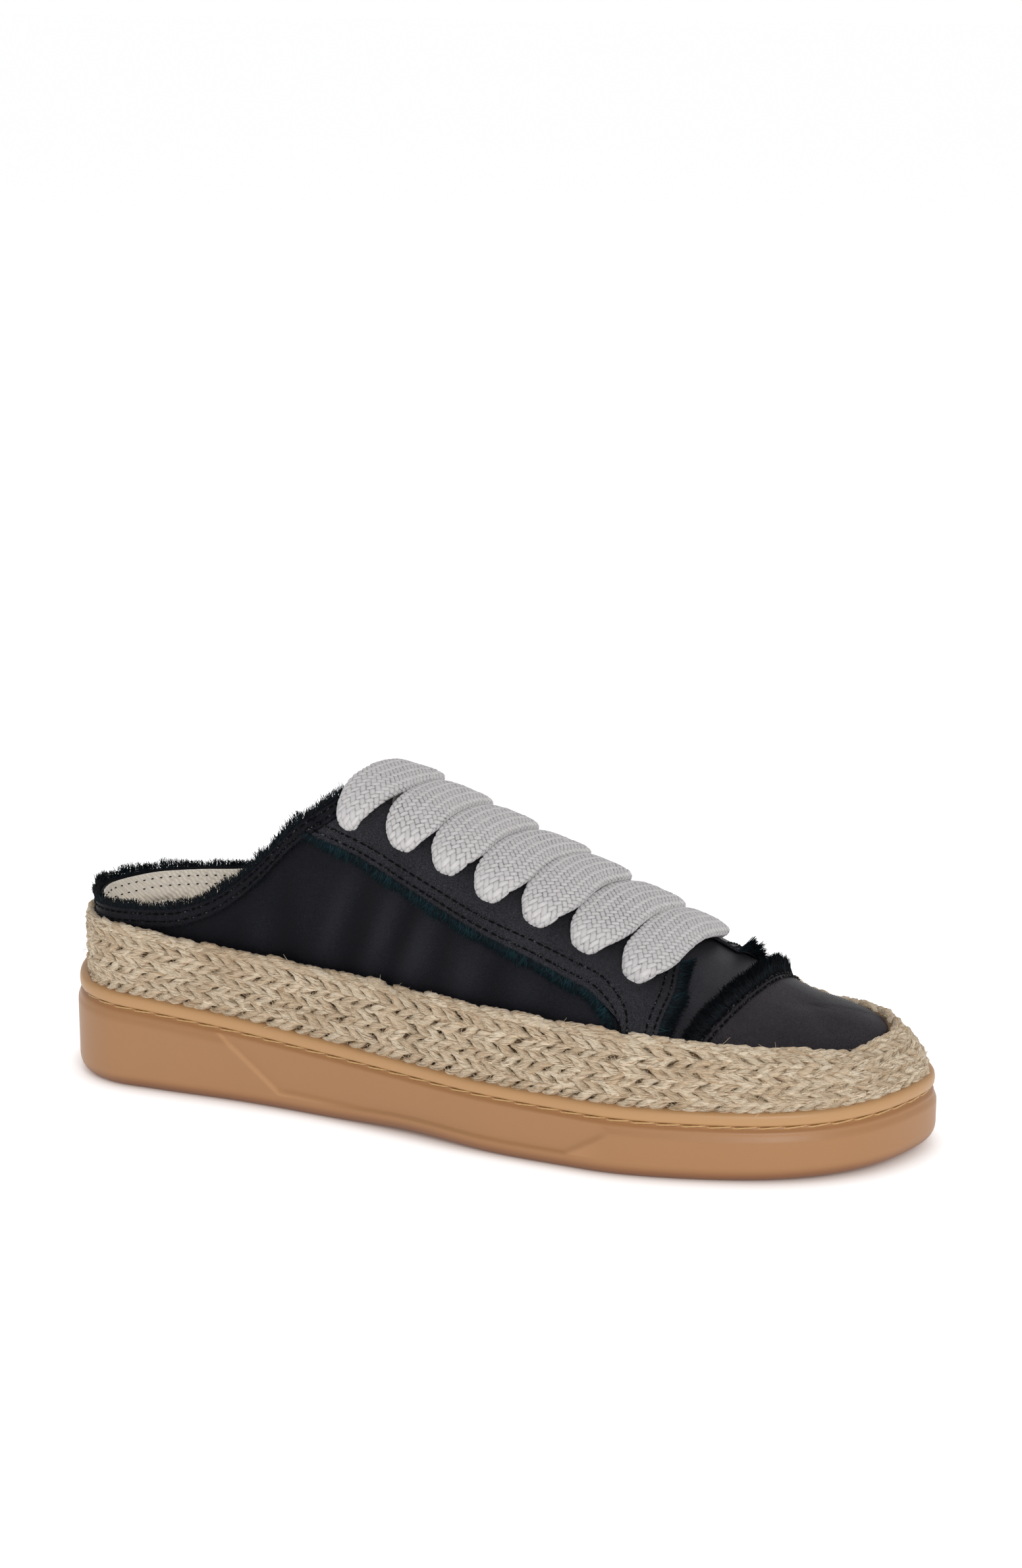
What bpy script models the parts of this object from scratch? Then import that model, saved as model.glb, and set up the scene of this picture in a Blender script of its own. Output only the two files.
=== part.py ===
"""Backless lace-up trainer, right shoe: a gum cup sole, a jute braid round the
midsole, a black satin upper with frayed edges and seven wide flat lace bars.

Frame: +X from heel to toe, -Y the outer (lateral) side, +Z up, floor at Z = 0,
origin under the middle of the sole.  Sizes below are in millimetres.
"""
import math

import bmesh
import bpy
from mathutils import Vector

MM = 0.001
GAP = 0.3                     # clearance between touching pieces

# ------------------------------------------------------------ driving sizes
SOLE_LENGTH = 275.0
HEEL_TIP_Y = 0.8
TOE_TIP_Y = 9.2

# Outline of the sole: station (0 heel, 1 toe), lateral and medial half width.
OUTLINE = (
    (0.03, 21.4, 20.8),
    (0.08, 31.4, 29.8),
    (0.15, 33.0, 34.4),
    (0.25, 33.4, 35.4),
    (0.35, 36.0, 35.0),
    (0.45, 40.6, 35.8),
    (0.55, 46.1, 39.8),
    (0.65, 48.9, 46.4),
    (0.72, 49.4, 49.6),
    (0.80, 45.2, 48.8),
    (0.88, 37.6, 44.2),
    (0.94, 26.6, 35.6),
    (0.98, 11.6, 25.4),
)

# Levels up the side of the sole: station, stitch groove, top of the rubber,
# top of the jute, and how far the jute has leaned in at its top.
LEVELS = (
    (0.00, 27.3, 31.9, 51.3, 3.4),
    (0.16, 24.6, 29.0, 48.4, 5.2),
    (0.35, 20.5, 24.8, 45.1, 6.4),
    (0.525, 18.1, 22.1, 43.1, 6.5),
    (0.685, 17.1, 21.3, 41.6, 7.0),
    (0.827, 16.7, 21.0, 39.0, 8.8),
    (0.92, 17.0, 21.4, 36.6, 11.0),
    (1.00, 18.3, 22.8, 35.8, 12.2),
)
GROOVE, RUBBER_TOP, JUTE_TOP, JUTE_LEAN = 1, 2, 3, 4

TOE_SPRING = 2.0
TOE_SPRING_START = 0.78
HEEL_BEVEL = 1.0
HEEL_BEVEL_END = 0.05
ARCH_RISE = 1.2
ARCH_START, ARCH_END = 0.34, 0.60
SOLE_EDGE_RADIUS = 5.0

PANEL_DEPTH = 1.0             # the shallow panel sunk into the waist's side

# The panel's outline: station, lower edge and upper edge above the floor.
PANEL = (
    (0.222, 24.3, 24.7),
    (0.296, 7.8, 22.8),
    (0.50, 5.4, 18.4),
    (0.66, 5.0, 16.4),
    (0.715, 12.6, 15.7),
)

BRAID_ROWS = 5
BRAID_RELIEF = 1.1
JUTE_FOOT_INSET = 4.0
JUTE_BELLY = 1.7              # how late the jute leans in towards its top
JUTE_WALL = 2.5               # jute between its outer face and the satin
TRAY_DEPTH = 9.0              # jute top down to the tray that holds the insole

UPPER_WALL = 1.5
OVERLAY_WALL = 1.0
OVERLAY_GAP = 0.5
INSOLE_THICKNESS = 4.0

# Centre line of the last: x, y and z of its ridge.
RIDGE = (
    (-100.0, 0.8, 112.0),
    (-80.0, 0.0, 112.0),
    (-55.0, -1.0, 104.5),
    (-33.0, -1.5, 97.5),
    (0.0, -1.0, 83.8),
    (30.0, 0.0, 71.4),
    (60.0, 1.0, 58.4),
    (76.0, 2.5, 51.6),
    (90.0, 4.0, 46.0),
    (100.0, 5.0, 42.7),
)

# Sections of the last: station at the feather line, x where the section meets
# the ridge, and its squareness (2 is an ellipse, more is squarer).
SECTIONS = (
    (0.00, -98.0, 3.0),
    (0.08, -95.0, 3.0),
    (0.15, -87.0, 3.0),
    (0.25, -67.0, 3.1),
    (0.38, -33.0, 3.3),
    (0.50, 0.0, 2.9),
    (0.60, 27.0, 2.3),
    (0.72, 60.0, 1.75),
    (0.80, 80.0, 1.65),
    (0.88, 91.5, 1.55),
    (0.94, 97.0, 1.45),
    (1.00, 100.0, 1.4),
)

# Top edge of the quarters and heel rim: x and height.
TOPLINE = (
    (-135.0, 55.4),
    (-110.0, 55.0),
    (-93.0, 56.0),
    (-82.0, 59.5),
    (-73.0, 65.0),
    (-64.0, 73.5),
    (-52.0, 87.0),
    (-42.0, 94.0),
    (-30.0, 102.0),
)
COLLAR_BAND = 6.0
COLLAR_END_X = -39.5

THROAT_HALF_REAR = 13.0
THROAT_HALF_FRONT = 15.0
THROAT_REAR_X = -34.0
THROAT_FRONT_X = 70.0

# Lower edge of the facings: x and height of the stitched, frayed line.
FACING_LINE = (
    (-47.0, 84.0),
    (-31.0, 79.5),
    (-14.5, 72.6),
    (6.4, 64.2),
    (27.0, 57.2),
    (39.3, 52.6),
    (53.0, 47.6),
)
FACING_FOOT_REAR_X = 55.0
FACING_COLUMNS = (-46.0, -42.5, -38.8, -36.8, -34.8, -32.8, -27.0, -18.0, -8.0,
                  1.0, 10.0, 19.0, 28.0, 37.0, 46.0, 53.6)
FACING_FRONT_X = (66.5, 75.5)         # lateral, medial

CAP_SIDE_STATION = 0.800      # where the toe cap's edge meets the jute
CAP_RIDGE_STATION = 0.895     # the section it has reached on the ridge
CAP_EDGE_POWER = 1.6

LACE_BARS = 7
LACE_FIRST_X = -33.5
LACE_LAST_X = 57.8
LACE_SLANT = 0.13             # forward run for each unit across
EYELET_OUT_REAR = (22.0, 20.0)      # lateral, medial distance from the ridge
EYELET_OUT_FRONT = (28.5, 22.5)
EYELET_RADIUS = 4.3
LACE_WIDTH = 15.0
LACE_THICKNESS = 3.6
LACE_PINCH = 5.2
LACE_ARCH = 1.0               # extra rise of a bar over the middle of the throat
RETURN_WIDTH = 7.0
RETURN_THICKNESS = 2.0
TONGUE_WALL = 1.8
TONGUE_DROP = 5.4
TONGUE_REAR_X = -33.0
TONGUE_RISE_X = 66.0          # in front of the last bar it rises to the vamp
TONGUE_FRONT_X = 84.0
TONGUE_HALF = 19.0

FRINGE_PITCH = 8.5
FRINGE_TOOTH = 0.62           # share of the pitch that a tuft fills
COLLAR_FRINGE = 3.6
CAP_FRINGE = 4.6
FACING_FRINGE = 3.2

SOLE_SEGMENTS = 30            # sections along each side of the sole
JUTE_SEGMENTS = 37
UPPER_SEGMENTS = 30

COLOURS = {                   # linear colour, roughness
    "gum": ((0.43, 0.22, 0.107), 0.42),
    "jute": ((0.52, 0.38, 0.23), 0.9),
    "satin": ((0.016, 0.016, 0.02), 0.5),
    "frayed": ((0.006, 0.012, 0.018), 0.8),
    "lace": ((0.62, 0.6, 0.58), 0.75),
    "linen": ((0.58, 0.52, 0.43), 0.9),
}


# ------------------------------------------------------------------ curves
def catmull(before, start, end, after, t):
    """Point of a Catmull-Rom span between start and end."""
    return 0.5 * (2 * start + (end - before) * t
                  + (2 * before - 5 * start + 4 * end - after) * t * t
                  + (3 * start - before - 3 * end + after) * t * t * t)


def read(table, column, key):
    """Smooth value of a table's column at a key of its first column."""
    last = len(table) - 1
    if key <= table[0][0]:
        return table[0][column]
    if key >= table[last][0]:
        return table[last][column]
    i = max(k for k in range(last) if table[k][0] <= key)
    t = (key - table[i][0]) / (table[i + 1][0] - table[i][0])
    span = table[i + 1][0] - table[i][0]

    def slope(k):
        if k in (0, last):
            inner = 1 if k == 0 else last - 1
            return (table[inner][column] - table[k][column]) / (table[inner][0] - table[k][0])
        return (table[k + 1][column] - table[k - 1][column]) / (table[k + 1][0] - table[k - 1][0])

    h = t * t * (3 - 2 * t)
    start, end = table[i][column], table[i + 1][column]
    tangents = slope(i) * (t - 2 * t * t + t ** 3) + slope(i + 1) * (t ** 3 - t * t)
    return start + (end - start) * h + span * tangents


def mix(a, b, t):
    return a + (b - a) * t


def ease(t):
    t = min(max(t, 0.0), 1.0)
    return t * t * (3 - 2 * t)


# ---------------------------------------------------------------- sole plan
LATERAL, MEDIAL = -1, 1
END_KEY = len(OUTLINE) + 1    # outline keys run from 0 at the heel to this


def control(side, index):
    """Control point of the closed outline; past either end it turns the corner."""
    if index < 0:
        return control(-side, -index)
    if index > END_KEY:
        return control(-side, 2 * END_KEY - index)
    if index == 0:
        return Vector((-SOLE_LENGTH / 2, HEEL_TIP_Y))
    if index == END_KEY:
        return Vector((SOLE_LENGTH / 2, TOE_TIP_Y))
    station, lateral, medial = OUTLINE[index - 1]
    half = lateral if side == LATERAL else medial
    return Vector(((station - 0.5) * SOLE_LENGTH, side * half))


def plan(side, key):
    i = min(int(key), END_KEY - 1)
    return catmull(control(side, i - 1), control(side, i), control(side, i + 1),
                   control(side, i + 2), key - i)


def plan_point(side, key, inset):
    """Plan point of one side, moved inwards square to the outline."""
    step = 0.02
    a, b = max(key - step, 0.0), min(key + step, float(END_KEY))
    along = plan(side, b) - plan(side, a)
    if key <= step or key >= END_KEY - step:
        along = Vector((0.0, float(side) if key <= step else -float(side)))
    inward = Vector((-along.y, along.x)).normalized() * (-side)
    return plan(side, key) + inward * inset


def key_rows(count):
    """Outline keys of evenly spaced sections, heel tip to toe tip."""
    fine = 400
    keys = [END_KEY * k / fine for k in range(fine + 1)]
    lengths = [0.0]
    for a, b in zip(keys, keys[1:]):
        lateral = (plan(LATERAL, b) - plan(LATERAL, a)).length
        medial = (plan(MEDIAL, b) - plan(MEDIAL, a)).length
        lengths.append(lengths[-1] + lateral + medial)
    rows = []
    for i in range(count + 1):
        goal = lengths[-1] * i / count
        k = min(sum(1 for value in lengths if value < goal), fine)
        rows.append(keys[k])
    rows[0], rows[-1] = 0.0, float(END_KEY)
    return rows


def station(key):
    return plan(LATERAL, key).x / SOLE_LENGTH + 0.5


def key_at(wanted):
    """Outline key of a station."""
    low, high = 0.0, float(END_KEY)
    for _ in range(40):
        middle = (low + high) / 2
        if station(middle) < wanted:
            low = middle
        else:
            high = middle
    return (low + high) / 2


def level(column, key):
    return read(LEVELS, column, station(key))


def floor_rise(key):
    """Height of the sole's underside: toe spring, arch and heel bevel."""
    s = station(key)
    if s > TOE_SPRING_START:
        return TOE_SPRING * ((s - TOE_SPRING_START) / (1 - TOE_SPRING_START)) ** 2
    if s < HEEL_BEVEL_END:
        return HEEL_BEVEL * ((HEEL_BEVEL_END - s) / HEEL_BEVEL_END) ** 2
    if ARCH_START < s < ARCH_END:
        turn = math.pi * (s - ARCH_START) / (ARCH_END - ARCH_START)
        return ARCH_RISE * math.sin(turn) ** 2
    return 0.0


# ------------------------------------------------------------ mesh building
def material(name):
    colour, roughness = COLOURS[name]
    mat = bpy.data.materials.new(name)
    mat.use_nodes = True
    shader = mat.node_tree.nodes["Principled BSDF"]
    shader.inputs["Base Color"].default_value = (*colour, 1.0)
    shader.inputs["Roughness"].default_value = roughness
    shader.inputs["Metallic"].default_value = 0.0
    return mat


def add_object(name, bm, finish, collection, smooth=True):
    mesh = bpy.data.meshes.new(name)
    bmesh.ops.remove_doubles(bm, verts=bm.verts, dist=0.02 * MM)
    bm.to_mesh(mesh)
    bm.free()
    obj = bpy.data.objects.new(name, mesh)
    collection.objects.link(obj)
    mesh.materials.append(bpy.data.materials.get(finish) or material(finish))
    if smooth:
        mesh.shade_smooth()
        mesh.set_sharp_from_angle(angle=math.radians(40))
    return obj


def ring_body(name, rings, rows, finish, collection):
    """Closed body from rings round the plan; each ring maps a key to inset and height."""
    bm = bmesh.new()
    count = len(rows) - 1
    loops = []
    for ring in rings:
        sides = {}
        for side in (LATERAL, MEDIAL):
            points = []
            for i, key in enumerate(rows):
                inset, height = ring(key, i)
                flat = plan_point(side, key, inset)
                points.append(bm.verts.new(Vector((flat.x, flat.y, height)) * MM))
            sides[side] = points
        loops.append(sides[LATERAL] + sides[MEDIAL][count - 1:0:-1])
        for spare in (sides[MEDIAL][0], sides[MEDIAL][count]):
            bm.verts.remove(spare)
    around = len(loops[0])
    for lower, upper in zip(loops, loops[1:]):
        for i in range(around):
            j = (i + 1) % around
            bm.faces.new((lower[i], lower[j], upper[j], upper[i]))
    for loop in (loops[0], loops[-1]):
        for i in range(count):
            corners = [loop[i], loop[i + 1], loop[(around - i - 1) % around], loop[(around - i) % around]]
            bm.faces.new(list(dict.fromkeys(corners)))
    bmesh.ops.recalc_face_normals(bm, faces=bm.faces)
    return add_object(name, bm, finish, collection)


def patch(name, grids, wall, finish, collection, offset):
    """Sheet from grids of points, given a real wall; offset -1 grows it inwards."""
    bm = bmesh.new()
    for grid, flip in grids:
        verts = [[bm.verts.new(point * MM) for point in row] for row in grid]
        for row, following in zip(verts, verts[1:]):
            for j in range(len(row) - 1):
                face = [row[j], following[j], following[j + 1], row[j + 1]]
                bm.faces.new(face[::-1] if flip else face)
    obj = add_object(name, bm, finish, collection)
    solid = obj.modifiers.new("wall", "SOLIDIFY")
    solid.thickness = wall * MM
    solid.offset = offset
    solid.use_even_offset = True
    solid.use_quality_normals = True
    return obj


def cut(obj, cutter):
    """Takes a cutter out of an object with an exact Boolean."""
    boolean = obj.modifiers.new("cut", "BOOLEAN")
    boolean.operation = "DIFFERENCE"
    boolean.solver = "EXACT"
    boolean.object = cutter


def as_cutter(obj, cutters):
    for collection in list(obj.users_collection):
        collection.objects.unlink(obj)
    cutters.objects.link(obj)
    obj.hide_render = True
    obj.display_type = "WIRE"
    return obj


# -------------------------------------------------------------- last surface
def section(side, key):
    """Foot point, ridge point and squareness of the last's section at a key."""
    s = station(key)
    inset = level(JUTE_LEAN, key) + JUTE_WALL
    foot = plan_point(side, key, inset)
    ridge_x = read(SECTIONS, 1, s)
    ridge = Vector((ridge_x, read(RIDGE, 1, ridge_x), read(RIDGE, 2, ridge_x)))
    height = level(JUTE_TOP, key) - 1.5
    return Vector((foot.x, foot.y, height)), ridge, read(SECTIONS, 2, s)


def on_last(side, key, turn):
    """Point of the last; turn is 0 at the feather line and 1 at the ridge."""
    foot, ridge, square = section(side, key)
    angle = turn * math.pi / 2
    across = max(math.cos(angle), 0.0) ** (2 / square)
    up = max(math.sin(angle), 0.0) ** (2 / square)
    return Vector((mix(ridge.x, foot.x, across), mix(ridge.y, foot.y, across),
                   mix(foot.z, ridge.z, up)))


def last_normal(side, key, turn):
    """Outward normal of the last's surface."""
    dk, dt = 0.03, 0.01
    k0, k1 = max(key - dk, 0.0), min(key + dk, float(END_KEY))
    if turn > 0.98:
        ridge = on_last(side, k1, 1.0) - on_last(side, k0, 1.0)
        return Vector((-ridge.z, 0.0, ridge.x)).normalized()
    t0, t1 = max(turn - dt, 0.005), min(turn + dt, 0.995)
    along = on_last(side, k1, max(turn, 0.02)) - on_last(side, k0, max(turn, 0.02))
    if key < dk or key > END_KEY - dk:
        along = Vector((0, float(side) * (-1 if key > END_KEY - dk else 1), 0))
    up = on_last(side, key, t1) - on_last(side, key, t0)
    return along.cross(up).normalized() * (1 if side == LATERAL else -1)


def lifted(side, key, turn, lift):
    return on_last(side, key, turn) + last_normal(side, key, turn) * lift


def turn_at_height(side, key, height):
    foot, ridge, square = section(side, key)
    share = min(max((height - foot.z) / (ridge.z - foot.z), 0.0), 1.0)
    return math.asin(share ** (square / 2)) / (math.pi / 2)


def turn_at_width(side, key, width):
    """Turn where a section is a given distance out from the ridge."""
    foot, ridge, square = section(side, key)
    share = min(width / abs(foot.y - ridge.y), 1.0)
    return math.acos(share ** (square / 2)) / (math.pi / 2)


def key_at_ridge(x):
    """Outline key of the section that meets the ridge at x."""
    low, high = 0.0, float(END_KEY)
    for _ in range(40):
        middle = (low + high) / 2
        if read(SECTIONS, 1, station(middle)) < x:
            low = middle
        else:
            high = middle
    return (low + high) / 2


def throat_share(key):
    x = read(SECTIONS, 1, station(key))
    return min(max((x - THROAT_REAR_X) / (THROAT_FRONT_X - THROAT_REAR_X), 0.0), 1.0)


def throat_turn(side, key):
    return turn_at_width(side, key, mix(THROAT_HALF_REAR, THROAT_HALF_FRONT, throat_share(key)))


def edge_turn(side, key):
    """Upper edge of the quarter: the topline, then the side of the throat."""
    foot, ridge = section(side, key)[:2]
    if foot.x > TOPLINE[-1][0]:
        return throat_turn(side, key)
    line = turn_at_height(side, key, read(TOPLINE, 1, foot.x))
    if ridge.x < THROAT_REAR_X - 20.0:
        return line
    return min(line, throat_turn(side, key))


# -------------------------------------------------------------------- pieces
def outsole(collection, cutters):
    """Gum cup sole: rounded foot edge, upright wall, stitch groove, bead."""
    rows = key_rows(SOLE_SEGMENTS)
    radius = SOLE_EDGE_RADIUS

    def foot(inset, rise):
        return lambda key, i: (inset, floor_rise(key) + rise)

    def wall(column, inset, drop):
        return lambda key, i: (inset, level(column, key) + drop)

    rings = [foot(radius + 5.0, 0.0)]
    for degrees in (0, 30, 60, 90):
        turn = math.radians(degrees)
        rings.append(foot(radius * (1 - math.sin(turn)), radius * (1 - math.cos(turn))))
    rings += [
        wall(GROOVE, 0.0, -1.0),
        wall(GROOVE, 1.7, -0.3),
        wall(GROOVE, 1.7, 0.3),
        wall(GROOVE, 0.9, 1.0),
        wall(RUBBER_TOP, 1.1, -1.6),
        wall(RUBBER_TOP, 2.2, -0.3),
        wall(RUBBER_TOP, 3.6, 0.0),
    ]
    obj = ring_body("outsole", rings, rows, "gum", collection)
    for side, name in ((LATERAL, "lateral"), (MEDIAL, "medial")):
        cut(obj, side_panel(side, name, cutters))
    return obj


def side_panel(side, name, cutters):
    """Cutter for the shallow panel in the waist: a slanting end, a tapered end."""
    proud, flare = 4.0, 1.5   # how far the cutter stands out of the wall and widens
    stops = [PANEL[0], PANEL[1]]
    for k in range(1, 10):
        s = mix(PANEL[1][0], PANEL[-2][0], k / 10)
        i = max(n for n in range(len(PANEL)) if PANEL[n][0] <= s)
        t = (s - PANEL[i][0]) / (PANEL[i + 1][0] - PANEL[i][0])
        stops.append([mix(a, b, t) for a, b in zip(PANEL[i], PANEL[i + 1])])
    stops += [PANEL[-2], PANEL[-1]]
    bm = bmesh.new()
    loops = []
    for s, low, high in stops:
        key = key_at(s)
        inner, outer = plan_point(side, key, PANEL_DEPTH), plan_point(side, key, -proud)
        corners = ((inner, low), (inner, high), (outer, high + flare), (outer, low - flare))
        loops.append([bm.verts.new(Vector((flat.x, flat.y, z)) * MM) for flat, z in corners])
    for a, b in zip(loops, loops[1:]):
        for i in range(4):
            j = (i + 1) % 4
            bm.faces.new((a[i], a[j], b[j], b[i]))
    bm.faces.new(loops[0])
    bm.faces.new(loops[-1])
    bmesh.ops.recalc_face_normals(bm, faces=bm.faces)
    return as_cutter(add_object("panel_cutter_" + name, bm, "gum", cutters), cutters)


def midsole(collection):
    """Jute-wrapped midsole: raised plaited rows outside, a tray for the foot inside."""
    rows = key_rows(JUTE_SEGMENTS)

    def braid(k):
        share = k / (2 * BRAID_ROWS)
        crest = k % 2

        def ring(key, i):
            foot = level(RUBBER_TOP, key) + GAP
            height = mix(foot, level(JUTE_TOP, key) - 1.2, share)
            lean = mix(JUTE_FOOT_INSET, level(JUTE_LEAN, key), share ** JUTE_BELLY)
            stitch = 1.0 if (i + k // 2) % 2 else 0.45
            return lean + BRAID_RELIEF * (0.7 - crest * stitch), height
        return ring

    rings = [lambda key, i: (JUTE_FOOT_INSET + 6.0, level(RUBBER_TOP, key) + GAP)]
    rings += [braid(k) for k in range(2 * BRAID_ROWS + 1)]
    rings += [
        lambda key, i: (level(JUTE_LEAN, key) + 1.2, level(JUTE_TOP, key)),
        lambda key, i: (level(JUTE_LEAN, key) + JUTE_WALL - GAP, level(JUTE_TOP, key) - 0.8),
        lambda key, i: (level(JUTE_LEAN, key) + JUTE_WALL - GAP, level(JUTE_TOP, key) - TRAY_DEPTH),
    ]
    return ring_body("midsole_jute", rings, rows, "jute", collection)


def insole(collection):
    """Linen-covered footbed lying in the tray, inside the upper's lower edge."""
    rows = key_rows(20)
    edge = JUTE_WALL + UPPER_WALL + 2 * GAP

    def ring(inset, rise):
        def place(key, i):
            tray = level(JUTE_TOP, key) - TRAY_DEPTH + GAP
            return level(JUTE_LEAN, key) + edge + inset, tray + rise
        return place

    rings = [
        ring(1.0, 0.0),
        ring(0.0, 1.0),
        ring(0.0, INSOLE_THICKNESS - 0.8),
        ring(1.2, INSOLE_THICKNESS),
        ring(9.0, INSOLE_THICKNESS - 0.9),
    ]
    return ring_body("insole", rings, rows, "linen", collection)


def upper_rows():
    """Section keys of the upper, with one exactly on each end of the throat."""
    rows = key_rows(UPPER_SEGMENTS)
    for x in (THROAT_REAR_X + 2.0, THROAT_FRONT_X):
        goal = key_at_ridge(x)
        nearest = min(range(len(rows)), key=lambda k: abs(rows[k] - goal))
        rows[nearest] = goal
    return rows


def eyelets(side):
    """Outline key, turn and order of the lace holes of one side, rear first."""
    holes = []
    for k in range(LACE_BARS):
        share = k / (LACE_BARS - 1)
        x = mix(LACE_FIRST_X, LACE_LAST_X, share)
        column = 0 if side == LATERAL else 1
        out = mix(EYELET_OUT_REAR[column], EYELET_OUT_FRONT[column], share)
        if side == MEDIAL:
            x += LACE_SLANT * (out + mix(EYELET_OUT_REAR[0], EYELET_OUT_FRONT[0], share))
        key = key_at_ridge(x)
        holes.append((key, turn_at_width(side, key, out)))
    return holes


def hole_cutters(side, cutters):
    """Round pins through the facing and quarter, one for each lace hole."""
    name = "lateral" if side == LATERAL else "medial"
    bm = bmesh.new()
    for key, turn in eyelets(side):
        centre = on_last(side, key, turn)
        normal = last_normal(side, key, turn)
        turn_to = normal.to_track_quat("Z", "X").to_matrix().to_4x4()
        turn_to.translation = centre * MM
        bmesh.ops.create_cone(bm, cap_ends=True, segments=6, radius1=EYELET_RADIUS * MM,
                              radius2=EYELET_RADIUS * MM, depth=9.0 * MM, matrix=turn_to)
    return as_cutter(add_object("eyelet_cutter_" + name, bm, "satin", cutters), cutters)


def upper(collection, holes):
    """Quarters, heel rim and vamp: one hollow wall, open at collar, throat and foot."""
    rows = upper_rows()
    front = key_at_ridge(THROAT_FRONT_X) - 1e-6
    side_steps, crown_steps = 5, 2
    grids = []
    for side in (LATERAL, MEDIAL):
        wall, crown = [], []
        for key in rows:
            foot = section(side, key)[0]
            tray = level(JUTE_TOP, key) - TRAY_DEPTH + GAP
            edge = edge_turn(side, key) if key < front else throat_turn(side, key)
            column = [Vector((foot.x, foot.y, tray))]
            column += [on_last(side, key, edge * j / side_steps) for j in range(side_steps + 1)]
            wall.append(column)
            if key >= front:
                crown.append([on_last(side, key, mix(edge, 1.0, j / crown_steps))
                              for j in range(crown_steps + 1)])
        grids += [(wall, side == MEDIAL), (crown, side == MEDIAL)]
    obj = patch("upper", grids, UPPER_WALL, "satin", collection, -1.0)
    for cutter in holes:
        cut(obj, cutter)
    return obj


def toe_cap_edge(turn):
    """Outline key of the cap's rear edge, swept back down both sides."""
    return mix(key_at(CAP_SIDE_STATION), key_at(CAP_RIDGE_STATION), turn ** CAP_EDGE_POWER)


def toe_cap(collection):
    """Satin cap over the toe, lapped on the vamp."""
    across, along = 6, 8
    grids = []
    for side in (LATERAL, MEDIAL):
        grid = []
        for i in range(along + 1):
            row = []
            for j in range(across + 1):
                turn = j / across
                key = mix(toe_cap_edge(turn), END_KEY, i / along)
                turn = mix(above_jute(side, key), 1.0, turn)
                row.append(lifted(side, key, turn, OVERLAY_GAP))
            grid.append(row)
        grids.append((grid, side == MEDIAL))
    return patch("toe_cap", grids, OVERLAY_WALL, "satin", collection, 1.0)


def above_jute(side, key):
    """Turn where an overlay just clears the top of the jute."""
    return turn_at_height(side, key, level(JUTE_TOP, key) + GAP)


def facing_foot(side, key):
    """Turn of the facing's lower edge: the frayed line, then down to the jute."""
    x = plan(LATERAL, key).x
    if x >= FACING_FOOT_REAR_X:
        return above_jute(side, key)
    return turn_at_height(side, key, read(FACING_LINE, 1, x))


def facing_head(side, key):
    """Turn of the facing's upper edge: under the collar band, then the throat."""
    top = edge_turn(side, key)
    under_band = turn_at_height(side, key, on_last(side, key, top).z - 1.3 * COLLAR_BAND - GAP)
    past_band = (plan(LATERAL, key).x - COLLAR_END_X - 0.7) / COLLAR_BAND
    return mix(under_band, top, min(max(past_band, 0.0), 1.0))


def facing(side, name, collection, cutter):
    """Eyelet facing lapped on the quarter, with a leg down to the jute in front."""
    front = FACING_FRONT_X[0 if side == LATERAL else 1]
    leg = FACING_FOOT_REAR_X + 0.2
    steps = 4
    grid = []
    for x in (*FACING_COLUMNS, leg, mix(leg, front, 0.5), front):
        key = key_at(x / SOLE_LENGTH + 0.5)
        low, high = facing_foot(side, key), facing_head(side, key)
        grid.append([lifted(side, key, mix(low, high, j / steps), OVERLAY_GAP)
                     for j in range(steps + 1)])
    obj = patch(name, [(grid, side == MEDIAL)], OVERLAY_WALL, "satin", collection, 1.0)
    cut(obj, cutter)
    return obj


def comb(name, samples, wall, collection):
    """Frayed strip along (base, root, tip) samples: a band with tufts fused on."""
    lengths = [0.0]
    for a, b in zip(samples, samples[1:]):
        lengths.append(lengths[-1] + (b[1] - a[1]).length)

    def at(share):
        goal = share * lengths[-1]
        k = min(sum(1 for value in lengths if value <= goal), len(lengths) - 1) - 1
        t = (goal - lengths[k]) / (lengths[k + 1] - lengths[k])
        return [mix(a, b, t) for a, b in zip(samples[k], samples[k + 1])]

    tufts = max(round(lengths[-1] / FRINGE_PITCH), 2)
    places = [(k + edge) / (tufts - 1 + FRINGE_TOOTH)
              for k in range(tufts) for edge in (0.0, FRINGE_TOOTH)]
    rows = [at(place) for place in places]
    bm = bmesh.new()
    low = [bm.verts.new(row[0] * MM) for row in rows]
    high = [bm.verts.new(row[1] * MM) for row in rows]
    for i in range(len(rows) - 1):
        bm.faces.new((low[i], low[i + 1], high[i + 1], high[i]))
        if i % 2 == 0:
            ends = [bm.verts.new(mix(rows[i][2], rows[i + 1][2], t) * MM) for t in (0.12, 0.88)]
            bm.faces.new((high[i], high[i + 1], ends[1], ends[0]))
    obj = add_object(name, bm, "frayed", collection, smooth=False)
    solid = obj.modifiers.new("wall", "SOLIDIFY")
    solid.thickness = wall * MM
    solid.offset = 1.0
    return obj


def collar_band(collection):
    """Band round the collar with its frayed top edge, medial throat to lateral throat."""
    end = key_at_ridge(COLLAR_END_X)
    keys = [end * k / 60 for k in range(61)]
    samples = []
    for side, order in ((MEDIAL, keys[::-1]), (LATERAL, keys[1:])):
        for key in order:
            top = edge_turn(side, key)
            drop = on_last(side, key, top).z - COLLAR_BAND
            low = max(turn_at_height(side, key, drop), above_jute(side, key))
            base = lifted(side, key, low, OVERLAY_GAP)
            root = lifted(side, key, top, OVERLAY_GAP)
            samples.append((base, root, root + (root - base).normalized() * COLLAR_FRINGE))
    return comb("collar_band", samples, OVERLAY_WALL, collection)


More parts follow.
